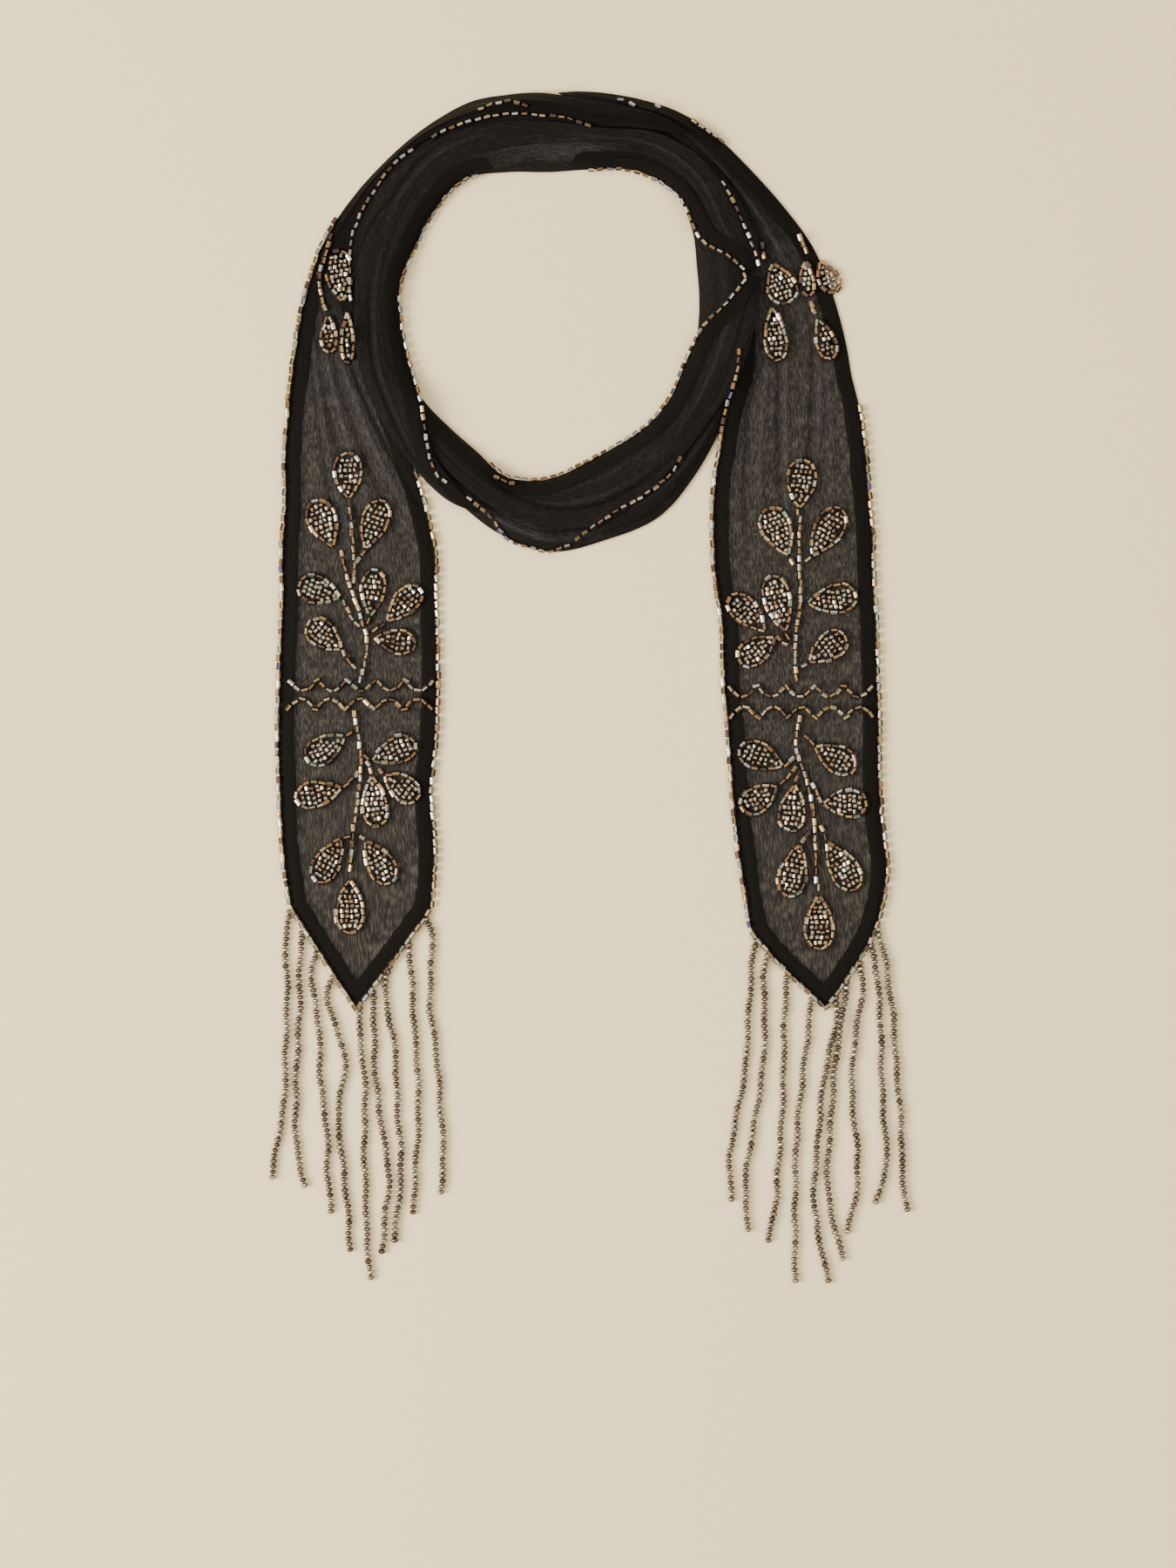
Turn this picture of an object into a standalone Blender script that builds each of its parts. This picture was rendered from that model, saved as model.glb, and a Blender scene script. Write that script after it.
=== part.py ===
# A skinny crinkled chiffon scarf with beaded, pointed ends, laid flat on a table.
# It is wound twice into a ring at neck size, and both ends hang side by side below the ring.
# Every size is in millimetres; the meshes are made in metres.
# +X is to the right, +Y up along the laid scarf and +Z away from the table, which is at height 0.

import math
from collections import namedtuple

import bmesh
import bpy
import numpy as np

METRE = 0.001
LEVEL_TOLERANCE = 1e-4

# Driving sizes of the cloth and of how it lies
CLOTH_WALL = 1.2
EDGE_WALL = 0.8
CLOTH_HALF_WIDTH = 28.0
HEM_WIDTH = 5.8
HEM_RISE = 0.4
HEM_STEP = 1.0
HEM_LENGTH_SHARE = 0.42
SEAM_GAP = 0.3
EDGE_STEPS = 12
END_SPACING = 7.5
TURN_SPACING = 6.0
RING_CENTRE = np.array([-15.2, 132.5])

# The part of the table whose heights are kept while the cloth is laid: its corner and its size
TABLE_CORNER = np.array([-140.0, -240.0])
TABLE_SIZE = (480, 280)

# Driving sizes of the beadwork
LEAF_EDGE = 1.0
LEAF_CROWN = 1.9
LEAF_CROWN_SHARE = 0.58
LEAF_TAPER = 0.42
LEAF_POINTS = 10
STEM_WIDTH = 2.4
STEM_HEIGHT = 1.3
STEM_END_SHARE = 0.28
BEAD_LIFT_STEP = 0.03
BEAD_CUT_DEPTH = 1.0
SCALLOP_DIP = 4.0
SCALLOP_STATIONS = 26
EDGING_WIDTH = 1.7
EDGING_HEIGHT = 1.7
STRAND_WIDTH = 2.1
STRAND_NECK = 1.3
STRAND_LIFT = 0.3
STRAND_STATIONS = 12

# The hidden layers of the ring, a section for each angle round its centre
CoreSection = namedtuple("CoreSection", "angle inner outer height")
CORE_SECTIONS = [
    CoreSection(0, 57, 76, 4.2),
    CoreSection(20, 60, 80, 4.0),
    CoreSection(40, 68, 86, 3.8),
    CoreSection(60, 68, 88, 3.8),
    CoreSection(80, 60, 85, 4.0),
    CoreSection(100, 60, 84, 4.2),
    CoreSection(120, 64, 83, 4.2),
    CoreSection(140, 61, 81, 4.2),
    CoreSection(160, 58, 78, 4.0),
    CoreSection(180, 56, 73, 4.0),
    CoreSection(200, 55, 69, 4.0),
    CoreSection(220, 55, 67, 3.8),
    CoreSection(240, 55, 70, 3.6),
    CoreSection(260, 60, 76, 3.6),
    CoreSection(280, 56, 78, 3.8),
    CoreSection(300, 53, 77, 4.0),
    CoreSection(320, 53, 73, 4.0),
    CoreSection(340, 53, 70, 4.2),
]
CORE_STATIONS = 48
CORE_STEP_HEIGHT = 1.2
CORE_STEP_WIDTH = 1.6
CORE_SHOULDER_WIDTH = 3.8
CORE_SHOULDER_DROP = 0.4

# The turns of the ring: the cloth's inner and outer edge at each angle, along the way it is wound
TurnSection = namedtuple("TurnSection", "angle inner outer")
UPPER_TURN = [
    TurnSection(250, 71.0, 75.5),
    TurnSection(240, 68.0, 74.0),
    TurnSection(225, 62.0, 71.5),
    TurnSection(210, 54.5, 70.5),
    TurnSection(195, 53.0, 71.0),
    TurnSection(180, 54.0, 71.0),
    TurnSection(165, 56.5, 73.0),
    TurnSection(150, 57.0, 77.6),
    TurnSection(135, 59.5, 79.4),
    TurnSection(120, 62.0, 78.9),
    TurnSection(105, 58.5, 76.7),
    TurnSection(90, 56.5, 74.5),
    TurnSection(75, 59.5, 74.5),
    TurnSection(60, 65.5, 80.5),
    TurnSection(45, 67.0, 82.5),
    TurnSection(30, 64.0, 80.0),
    TurnSection(20, 71.0, 79.5),
    TurnSection(15, 75.0, 79.5),
]
LOWER_TURN = [
    TurnSection(13, 74.5, 79.5),
    TurnSection(0, 57.5, 75.5),
    TurnSection(-15, 52.0, 72.0),
    TurnSection(-30, 51.8, 68.5),
    TurnSection(-45, 51.4, 68.5),
    TurnSection(-60, 50.5, 71.5),
    TurnSection(-75, 52.0, 75.0),
    TurnSection(-90, 56.0, 74.5),
    TurnSection(-105, 57.5, 70.5),
    TurnSection(-120, 53.0, 66.0),
    TurnSection(-135, 52.0, 63.5),
    TurnSection(-150, 53.5, 61.5),
]
OUTER_TURN = [
    TurnSection(-15, 64.0, 75.0),
    TurnSection(-30, 62.0, 73.5),
    TurnSection(-45, 61.0, 76.5),
    TurnSection(-60, 61.5, 80.8),
    TurnSection(-75, 64.0, 81.2),
    TurnSection(-90, 67.5, 82.8),
    TurnSection(-103, 66.0, 78.5),
    TurnSection(-115, 62.5, 73.5),
    TurnSection(-128, 60.0, 69.5),
]
UNDER_TURN = [
    TurnSection(46, 67.5, 79.0),
    TurnSection(33, 63.0, 77.0),
    TurnSection(20, 58.0, 76.0),
    TurnSection(0, 54.8, 74.0),
    TurnSection(-12, 55.5, 70.0),
]

# The two ends: the outer and the inner edge at each section, from the hem's corners up to the
# shoulder, and on along the outside of the ring
EndSection = namedtuple("EndSection", "outer_x outer_y inner_x inner_y")
LEFT_END = [
    EndSection(-110.0, -80.0, -58.5, -81.0),
    EndSection(-113.0, -59.0, -57.0, -59.0),
    EndSection(-114.0, -37.5, -58.5, -37.5),
    EndSection(-114.5, -16.0, -56.5, -16.0),
    EndSection(-114.0, 9.0, -56.0, 9.0),
    EndSection(-113.0, 31.0, -56.5, 30.0),
    EndSection(-113.0, 51.0, -57.0, 50.0),
    EndSection(-112.0, 67.0, -60.5, 66.0),
    EndSection(-112.0, 84.0, -64.5, 79.5),
    EndSection(-111.0, 100.0, -69.0, 92.5),
    EndSection(-109.5, 115.0, -74.5, 108.5),
    EndSection(-107.5, 129.5, -80.0, 124.5),
    EndSection(-105.0, 142.0, -86.0, 140.5),
    EndSection(-102.0, 152.5, -88.5, 152.0),
    EndSection(-98.0, 163.0, -87.5, 163.0),
    EndSection(-91.5, 174.0, -83.5, 173.0),
    EndSection(-82.5, 185.5, -76.0, 186.0),
    EndSection(-69.5, 198.5, -65.0, 197.5),
    EndSection(-57.0, 208.0, -53.5, 203.5),
    EndSection(-44.0, 215.0, -43.0, 206.5),
    EndSection(-31.0, 217.5, -30.0, 209.5),
    EndSection(-18.5, 218.0, -18.5, 209.0),
    EndSection(-7.0, 216.0, -9.0, 208.0),
    EndSection(4.0, 214.0, 2.5, 205.0),
    EndSection(15.0, 212.0, 13.5, 205.0),
    EndSection(26.5, 208.5, 25.0, 203.5),
    EndSection(36.0, 202.5, 34.5, 200.0),
]
RIGHT_END = [
    EndSection(106.0, -85.0, 59.0, -88.5),
    EndSection(109.0, -67.5, 55.5, -68.0),
    EndSection(107.0, -49.0, 53.0, -48.5),
    EndSection(106.0, -30.0, 51.5, -29.0),
    EndSection(106.0, -14.0, 50.5, -13.0),
    EndSection(105.5, 3.0, 49.0, 3.0),
    EndSection(105.0, 22.5, 48.5, 22.0),
    EndSection(104.0, 40.0, 46.0, 40.0),
    EndSection(103.5, 57.5, 45.0, 57.5),
    EndSection(102.0, 73.5, 45.5, 73.5),
    EndSection(101.0, 88.0, 47.5, 87.5),
    EndSection(99.0, 102.0, 50.0, 102.0),
    EndSection(96.0, 114.5, 54.0, 115.0),
    EndSection(94.0, 126.0, 54.5, 127.0),
    EndSection(91.0, 138.0, 54.0, 141.0),
    EndSection(87.0, 150.0, 52.5, 155.0),
    EndSection(81.0, 163.0, 50.0, 169.0),
    EndSection(71.0, 176.5, 46.0, 182.0),
    EndSection(58.5, 190.5, 39.0, 193.0),
    EndSection(45.5, 203.0, 31.0, 201.0),
    EndSection(33.0, 211.0, 21.5, 206.0),
    EndSection(20.0, 215.5, 11.0, 208.5),
    EndSection(7.0, 218.0, 2.0, 211.0),
    EndSection(-5.5, 219.0, -7.5, 213.0),
]

# How far each point reaches beyond the hem's corners, how round it is, and over what length the
# rows of the cloth bend to follow it
Point = namedtuple("Point", "reach_x reach_y roundness blend")
LEFT_POINT = Point(-1.6, -37.2, 0.96, 48.0)
RIGHT_POINT = Point(4.0, -30.6, 0.82, 48.0)

# The largest folds of each stretch, as ridges along it: start and end as shares of its length,
# the place across it at both ends (-1 the outer edge, 1 the inner), height and half width
Fold = namedtuple("Fold", "start end across_start across_end height half_width")
UPPER_FOLDS = [
    Fold(0.10, 0.46, 0.15, 0.35, 0.7, 0.45),
    Fold(0.28, 0.62, -0.55, -0.62, 0.8, 0.26),
    Fold(0.50, 0.78, 0.35, 0.20, 0.8, 0.40),
    Fold(0.66, 1.00, -0.50, -0.05, 1.0, 0.40),
]
LOWER_FOLDS = [
    Fold(0.00, 0.34, -0.25, 0.00, 1.0, 0.40),
    Fold(0.26, 0.74, 0.55, 0.38, 0.7, 0.24),
    Fold(0.32, 0.78, -0.40, -0.10, 0.9, 0.30),
    Fold(0.70, 1.00, 0.05, -0.10, 0.8, 0.40),
]
OUTER_FOLDS = [
    Fold(0.20, 0.72, -0.25, 0.05, 0.7, 0.45),
    Fold(0.62, 1.00, -0.45, -0.20, 0.6, 0.35),
]
UNDER_FOLDS = [
    Fold(0.00, 1.00, 0.10, 0.20, 0.5, 0.60),
]
LEFT_FOLDS = [
    Fold(0.30, 0.58, 0.55, 0.10, 1.1, 0.22),
    Fold(0.34, 0.60, 0.15, -0.25, 0.9, 0.20),
    Fold(0.28, 0.55, -0.45, -0.55, 0.7, 0.22),
    Fold(0.05, 0.34, 0.45, 0.50, 0.3, 0.24),
    Fold(0.03, 0.30, -0.40, -0.42, 0.3, 0.24),
    Fold(0.52, 1.00, -0.15, 0.10, 1.4, 0.85),
]
RIGHT_FOLDS = [
    Fold(0.34, 0.64, -0.20, 0.15, 1.0, 0.22),
    Fold(0.31, 0.60, 0.30, 0.55, 0.9, 0.20),
    Fold(0.28, 0.58, -0.62, -0.50, 0.7, 0.22),
    Fold(0.04, 0.32, 0.42, 0.46, 0.3, 0.24),
    Fold(0.05, 0.30, -0.42, -0.40, 0.3, 0.24),
    Fold(0.60, 1.00, -0.25, -0.10, 1.3, 0.75),
]

# The places across a stretch that carry its plan and its relief, -1 the outer edge and 1 the inner
TURN_ACROSS = np.array([-1.0, -0.86, -0.5, -0.17, 0.17, 0.5, 0.86, 1.0])
HEM_ACROSS = 1.0 - HEM_WIDTH / CLOTH_HALF_WIDTH
SHEER_ACROSS = HEM_ACROSS - HEM_STEP / CLOTH_HALF_WIDTH
END_ACROSS = np.array([-1.0, -HEM_ACROSS, -SHEER_ACROSS, -0.45, -0.15,
                       0.15, 0.45, SHEER_ACROSS, HEM_ACROSS, 1.0])

# The leaves of each spray: middle, heading of the pointed tip in degrees, length, width, and the
# share of the main stem's length at which the leaf's own stem leaves it
Leaf = namedtuple("Leaf", "x y heading length width joint")
LEFT_UPPER_LEAVES = [
    Leaf(-88.8, 77.4, -88, 18.5, 11.6, 0.96),
    Leaf(-97.4, 60.5, -62, 19.0, 11.2, 0.62),
    Leaf(-78.9, 60.2, -112, 19.0, 11.2, 0.62),
    Leaf(-99.2, 34.9, -18, 17.0, 11.6, 0.36),
    Leaf(-79.8, 34.6, -96, 18.5, 10.0, 0.30),
    Leaf(-68.5, 30.2, -146, 17.5, 10.6, 0.26),
    Leaf(-71.4, 16.8, 172, 16.0, 10.0, 0.22),
    Leaf(-97.2, 18.6, -38, 16.5, 11.4, 0.12),
]
LEFT_LOWER_LEAVES = [
    Leaf(-97.1, -22.4, 32, 17.5, 11.6, 0.14),
    Leaf(-71.8, -23.7, -152, 18.0, 11.2, 0.38),
    Leaf(-99.6, -39.0, 14, 18.5, 11.2, 0.44),
    Leaf(-78.9, -43.5, 98, 18.0, 10.8, 0.38),
    Leaf(-69.3, -36.4, 146, 16.5, 11.0, 0.38),
    Leaf(-95.8, -63.4, 60, 19.5, 11.4, 0.74),
    Leaf(-77.6, -64.0, 122, 19.5, 11.4, 0.74),
    Leaf(-88.2, -80.3, 90, 21.0, 12.0, 0.96),
]
RIGHT_UPPER_LEAVES = [
    Leaf(77.3, 74.6, -96, 19.0, 12.0, 0.96),
    Leaf(68.6, 57.3, -52, 19.5, 11.8, 0.68),
    Leaf(86.9, 57.3, -132, 20.5, 12.0, 0.68),
    Leaf(68.6, 33.6, -62, 20.0, 11.0, 0.30),
    Leaf(57.4, 27.5, -42, 18.0, 11.2, 0.24),
    Leaf(88.6, 32.2, -170, 19.5, 12.2, 0.42),
    Leaf(61.2, 13.8, 35, 17.0, 11.2, 0.20),
    Leaf(86.7, 14.4, -150, 17.0, 11.6, 0.08),
]
RIGHT_LOWER_LEAVES = [
    Leaf(62.8, -25.6, -22, 18.5, 11.6, 0.30),
    Leaf(89.4, -25.3, 165, 17.5, 11.6, 0.14),
    Leaf(62.2, -40.6, 32, 17.0, 11.2, 0.36),
    Leaf(74.1, -44.2, 84, 18.5, 11.2, 0.36),
    Leaf(93.3, -42.6, 180, 17.5, 11.8, 0.50),
    Leaf(74.7, -67.2, 76, 21.0, 11.8, 0.74),
    Leaf(92.3, -65.6, 122, 21.5, 12.2, 0.74),
    Leaf(84.0, -86.1, 92, 21.5, 12.0, 0.96),
]
LEFT_SHOULDER_LEAVES = [
    Leaf(-92.8, 150.6, -90, 15.5, 7.2, 0.50),
    Leaf(-95.8, 129.4, 92, 15.0, 7.0, 0.96),
    Leaf(-88.8, 128.0, 90, 20.0, 6.2, 0.60),
]
RIGHT_SHOULDER_LEAVES = [
    Leaf(70.6, 147.6, 90, 14.0, 12.6, 0.40),
    Leaf(79.6, 149.6, 20, 11.5, 9.0, 0.80),
    Leaf(84.4, 148.8, -30, 9.0, 6.4, 0.90),
    Leaf(67.6, 129.4, 97, 21.0, 9.8, 0.45),
    Leaf(86.0, 127.6, 110, 17.0, 8.6, 0.90),
]

# The main stem of each spray, as a few places on a smooth line
LEFT_UPPER_STEM = [(-84.6, 2.0), (-82.4, 13.5), (-83.6, 25.0), (-87.0, 39.0), (-88.4, 66.0)]
LEFT_LOWER_STEM = [(-86.8, -8.0), (-84.8, -20.0), (-84.2, -31.0), (-87.0, -54.0), (-88.2, -68.0)]
RIGHT_UPPER_STEM = [(75.0, 4.5), (75.4, 18.0), (77.2, 33.0), (76.6, 47.0), (77.0, 63.0)]
RIGHT_LOWER_STEM = [(77.2, -10.0), (75.4, -21.0), (79.2, -33.0), (82.2, -48.0), (83.0, -72.0)]
LEFT_SHOULDER_STEM = [(-94.8, 166.0), (-97.6, 158.0), (-98.8, 150.0), (-98.2, 142.0)]
RIGHT_SHOULDER_STEM = [(63.2, 163.0), (63.6, 156.0), (68.0, 150.0), (76.0, 149.0), (84.0, 149.0)]

# The bead strands of each fringe: where the root is on the point's edge (-1 its left corner, 0 the
# tip, 1 its right corner), the height of the strand's end, and how far it sways to the right of its
# root at tenths 1, 3, 5, 7 and 8.5 of its length and at its end
Strand = namedtuple("Strand", "root end_y sway_1 sway_3 sway_5 sway_7 sway_8 sway_end")
SWAY_SHARES = (0.0, 0.1, 0.3, 0.5, 0.7, 0.85, 1.0)
LEFT_STRANDS = [
    Strand(-0.95, -180.8, -1.5, -0.5, -1.5, -2.5, -5.0, -7.5),
    Strand(-0.80, -183.6, -1.5, -1.5, -2.5, -3.0, -2.5, 0.5),
    Strand(-0.60, -193.3, -2.0, 0.8, 1.4, 3.8, 3.8, 5.6),
    Strand(-0.36, -207.3, -1.8, 4.5, 2.0, 4.0, 5.5, 6.5),
    Strand(0.06, -217.6, -0.5, 1.6, 1.2, 1.8, 2.2, 3.6),
    Strand(0.22, -208.0, 0.5, 0.8, 3.0, 6.0, 4.6, 3.4),
    Strand(0.48, -203.9, -2.6, 1.0, 1.8, 3.4, 2.5, 0.5),
    Strand(0.70, -193.6, 1.0, 2.0, 3.5, 3.5, 2.5, 2.0),
    Strand(0.95, -186.2, 2.0, 1.0, 3.5, 5.0, 6.0, 5.0),
]
RIGHT_STRANDS = [
    Strand(-0.95, -188.8, -1.2, -2.6, -3.8, -7.4, -9.6, -8.6),
    Strand(-0.79, -200.0, -1.5, -1.0, -3.0, -6.6, -8.3, -7.0),
    Strand(-0.52, -203.9, -1.0, -1.5, -2.0, -3.5, -4.5, -7.5),
    Strand(-0.20, -218.76, -1.0, -3.5, -5.5, -6.0, -6.0, -6.0),
    Strand(0.20, -218.76, -0.5, -5.0, -7.0, -8.5, -6.5, -3.0),
    Strand(0.40, -210.6, -1.6, -4.6, -6.2, -7.6, -5.6, -1.4),
    Strand(0.63, -200.6, 1.0, -2.0, -3.0, -1.0, -1.5, -5.0),
    Strand(0.82, -189.7, 2.2, 3.8, 4.2, 5.2, 6.0, 1.6),
    Strand(0.97, -192.6, 2.6, 5.6, 7.0, 8.8, 9.0, 10.7),
]

# The bead lines across each end: where they start and stop, how many arcs they have and which way
# the arcs bulge, 1 upwards and -1 downwards
Scallop = namedtuple("Scallop", "side name left_x left_y right_x right_y arcs bulge")
SCALLOPS = [
    Scallop("left", "upper", -110.5, 2.8, -57.5, 2.8, 5, -1.0),
    Scallop("left", "lower", -111.5, -8.4, -57.8, -8.4, 5, 1.0),
    Scallop("right", "upper", 50.5, 0.6, 103.5, 0.6, 5, -1.0),
    Scallop("right", "lower", 51.0, -11.4, 104.0, -11.4, 5, 1.0),
]

# Colour, roughness and metallic value of each finish
Finish = namedtuple("Finish", "colour roughness metallic")
FINISHES = {
    "chiffon": Finish((0.030, 0.027, 0.026, 1.0), 0.85, 0.0),
    "hidden_chiffon": Finish((0.018, 0.016, 0.016, 1.0), 0.9, 0.0),
    "cut_beads": Finish((0.42, 0.38, 0.33, 1.0), 0.3, 0.6),
    "seed_beads": Finish((0.36, 0.29, 0.22, 1.0), 0.35, 0.5),
}


def smooth_rows(rows, steps, closed=False):
    """Catmull-Rom curve through the rows, with so many steps from each row to the next."""
    rows = np.array(rows, dtype=float)
    count = len(rows)
    spans = count if closed else count - 1
    place = np.arange(spans * steps + (0 if closed else 1)) / steps
    first = np.minimum(place.astype(int), spans - 1)
    share = (place - first)[:, None]

    def row(offset):
        index = first + offset
        return rows[index % count] if closed else rows[np.clip(index, 0, count - 1)]

    before, start, end, after = row(-1), row(0), row(1), row(2)
    return 0.5 * (2.0 * start + (end - before) * share
                  + (2.0 * before - 5.0 * start + 4.0 * end - after) * share ** 2
                  + (3.0 * start - before - 3.0 * end + after) * share ** 3)


def ring_place(angle, radius):
    """The place in the plane at an angle in degrees and a distance from the ring's centre."""
    turn = np.radians(angle)
    return RING_CENTRE + np.stack([radius * np.cos(turn), radius * np.sin(turn)], axis=-1)


def turn_edges(sections):
    """Smooth outer and inner edges of a turn of the ring."""
    rows = smooth_rows(sections, EDGE_STEPS)
    return ring_place(rows[:, 0], rows[:, 2]), ring_place(rows[:, 0], rows[:, 1])


def end_edges(sections):
    """Smooth outer and inner edges of an end."""
    rows = smooth_rows(sections, EDGE_STEPS)
    return rows[:, :2], rows[:, 2:]


def midline_lengths(outer, inner):
    middle = (outer + inner) / 2.0
    steps = np.linalg.norm(np.diff(middle, axis=0), axis=1)
    return np.concatenate([[0.0], np.cumsum(steps)])


def rows_at(stations, lengths, edge):
    return np.stack([np.interp(stations, lengths, edge[:, axis]) for axis in (0, 1)], axis=1)


def cross_rows(outer, inner, stations, across):
    """The plan of a stretch: a row of places from its outer to its inner edge at each station."""
    lengths = midline_lengths(outer, inner)
    start = rows_at(stations, lengths, outer)[:, None, :]
    end = rows_at(stations, lengths, inner)[:, None, :]
    share = ((across + 1.0) / 2.0)[None, :, None]
    return start * (1.0 - share) + end * share


def even_stations(length, spacing):
    return np.linspace(0.0, length, round(length / spacing) + 1)


def point_shift(stations, across, point):
    """How far the rows near a pointed end move towards its tip."""
    fade = np.clip(1.0 - stations / point.blend, 0.0, 1.0)[:, None]
    reach = (1.0 - np.abs(across))[None, :] ** point.roundness
    return (fade * reach)[:, :, None] * np.array([point.reach_x, point.reach_y])


def fold_relief(folds, shares, across):
    """Height that the folds add over the plan of a stretch."""
    relief = np.zeros((len(shares), len(across)))
    for fold in folds:
        along = (shares - fold.start) / (fold.end - fold.start)
        fade = np.sin(np.pi * np.clip(along, 0.0, 1.0)) ** 0.6
        fade[(along <= 0.0) & (fold.start > 0.0)] = 0.0
        middle = fold.across_start + (fold.across_end - fold.across_start) * np.clip(along, 0.0, 1.0)
        away = np.abs(across[None, :] - middle[:, None]) / fold.half_width
        ridge = np.cos(np.pi / 2.0 * np.clip(away, 0.0, 1.0)) ** 2
        relief += fold.height * fade[:, None] * ridge
    return relief


class LaidCloth:
    """The height of everything laid so far, on a grid of points 1 mm apart over the table."""

    def __init__(self):
        self.origin = TABLE_CORNER
        self.height = np.zeros(TABLE_SIZE)

    def points_under(self, corners):
        """The grid points that a triangle covers, with the triangle's height at each."""
        low = np.floor(corners[:, :2].min(axis=0) - self.origin).astype(int)
        high = np.ceil(corners[:, :2].max(axis=0) - self.origin).astype(int) + 1
        columns, rows = np.meshgrid(np.arange(low[0], high[0]), np.arange(low[1], high[1]))
        first, second, third = corners
        side_b, side_c = second - first, third - first
        area = side_b[0] * side_c[1] - side_b[1] * side_c[0]
        if abs(area) < 1e-9:
            nowhere = np.zeros(0, dtype=int)
            return nowhere, nowhere, np.zeros(0)
        x = columns + self.origin[0] - first[0]
        y = rows + self.origin[1] - first[1]
        share_b = (x * side_c[1] - y * side_c[0]) / area
        share_c = (y * side_b[0] - x * side_b[1]) / area
        inside = (share_b > -1e-6) & (share_c > -1e-6) & (share_b + share_c < 1.0 + 1e-6)
        height = first[2] + share_b * side_b[2] + share_c * side_c[2]
        return rows[inside], columns[inside], height[inside]

    def add(self, points, triangles):
        for triangle in triangles:
            rows, columns, height = self.points_under(points[list(triangle)])
            np.maximum.at(self.height, (rows, columns), height)

    def reach(self):
        """The same heights, each spread to the points next to it."""
        spread = self.height.copy()
        for axis in (0, 1):
            wide = spread.copy()
            for step in (-1, 1):
                wide = np.maximum(wide, np.roll(spread, step, axis=axis))
            spread = wide
        return spread

    def settle(self, plan, triangles, rows_of=None):
        """Heights at which a sheet with this plan clears what is laid; 0 where it meets the table."""
        ground = self.reach()
        column, row = np.round(plan - self.origin).astype(int).T
        rest = ground[row, column]
        rest = np.where(rest > 0.0, rest + SEAM_GAP, 0.0)
        if rows_of:
            rest = stretch_taut(rest.reshape(rows_of)).reshape(-1)
        for _ in range(3):
            for triangle in triangles:
                corners = list(triangle)
                points = np.column_stack([plan[corners], rest[corners]])
                rows, columns, height = self.points_under(points)
                below = ground[rows, columns]
                need = np.where(below > 0.0, below + SEAM_GAP - height, 0.0)
                if need.size and need.max() > 0.0:
                    rest[corners] += need.max()
        return rest


def stretch_taut(rest):
    """Cloth doesn't dip between two high places: it spans them along and across."""
    for _ in range(2):
        rest[1:-1] = np.maximum(rest[1:-1], (rest[:-2] + rest[2:]) / 2.0)
        rest[:, 1:-1] = np.maximum(rest[:, 1:-1], (rest[:, :-2] + rest[:, 2:]) / 2.0)
    return rest


def grid_triangles(rows, columns):
    triangles = []
    for i in range(rows - 1):
        for j in range(columns - 1):
            here = i * columns + j
            triangles.append((here, here + 1, here + columns + 1))
            triangles.append((here, here + columns + 1, here + columns))
    return triangles


def make_material(name):
    finish = FINISHES[name]
    material = bpy.data.materials.get(name) or bpy.data.materials.new(name)
    material.use_nodes = True
    shader = material.node_tree.nodes["Principled BSDF"]
    shader.inputs["Base Color"].default_value = finish.colour
    shader.inputs["Roughness"].default_value = finish.roughness
    shader.inputs["Metallic"].default_value = finish.metallic
    material.diffuse_color = finish.colour
    return material


def add_node(name, solid, finish):
    """Makes a named object of a closed solid, faces outwards, and gives it its finish."""
    bmesh.ops.recalc_face_normals(solid, faces=solid.faces)
    bmesh.ops.scale(solid, vec=(METRE, METRE, METRE), verts=solid.verts)
    mesh = bpy.data.meshes.new(name)
    solid.to_mesh(mesh)
    solid.free()
    mesh.materials.append(make_material(finish))
    node = bpy.data.objects.new(name, mesh)
    bpy.context.scene.collection.objects.link(node)
    return node


def sheet_solid(top, under):
    """A closed wall between two grids of places, one above the other."""
    rows, columns = top.shape[:2]
    solid = bmesh.new()
    upper = [solid.verts.new(place) for place in top.reshape(-1, 3)]
    lower = [solid.verts.new(place) for place in under.reshape(-1, 3)]
    table_faces = []
    for a, b, c in grid_triangles(rows, columns):
        solid.faces.new((upper[a], upper[b], upper[c]))
        face = solid.faces.new((lower[c], lower[b], lower[a]))
        if max(vert.co.z for vert in face.verts) < LEVEL_TOLERANCE:
            table_faces.append(face)
    border = [j for j in range(columns)]
    border += [i * columns + columns - 1 for i in range(1, rows)]
    border += [(rows - 1) * columns + j for j in range(columns - 2, -1, -1)]
    border += [i * columns for i in range(rows - 2, 0, -1)]
    for a, b in zip(border, border[1:] + border[:1]):
        solid.faces.new((upper[b], upper[a], lower[a], lower[b]))
    if table_faces:
        bmesh.ops.dissolve_faces(solid, faces=table_faces)
    return solid


def lay_stretch(name, laid, plan, relief, finish):
    """Lays a stretch of cloth over everything laid before it, and makes its node."""
    rows, columns = plan.shape[:2]
    triangles = grid_triangles(rows, columns)
    rest = laid.settle(plan.reshape(-1, 2), triangles, rows_of=(rows, columns)).reshape(rows, columns)
    wall = np.full((rows, columns), CLOTH_WALL)
    wall[:, 0] = EDGE_WALL
    wall[:, -1] = EDGE_WALL
    top = np.concatenate([plan, (rest + wall + relief)[:, :, None]], axis=2)
    under = np.concatenate([plan, rest[:, :, None]], axis=2)
    laid.add(top.reshape(-1, 3), triangles)
    return add_node(name, sheet_solid(top, under), finish)


def lay_turn(name, laid, sections, folds):
    outer, inner = turn_edges(sections)
    length = midline_lengths(outer, inner)[-1]
    stations = even_stations(length, TURN_SPACING)
    plan = cross_rows(outer, inner, stations, TURN_ACROSS)
    lay_stretch(name, laid, plan, fold_relief(folds, stations / length, TURN_ACROSS), "chiffon")


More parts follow.
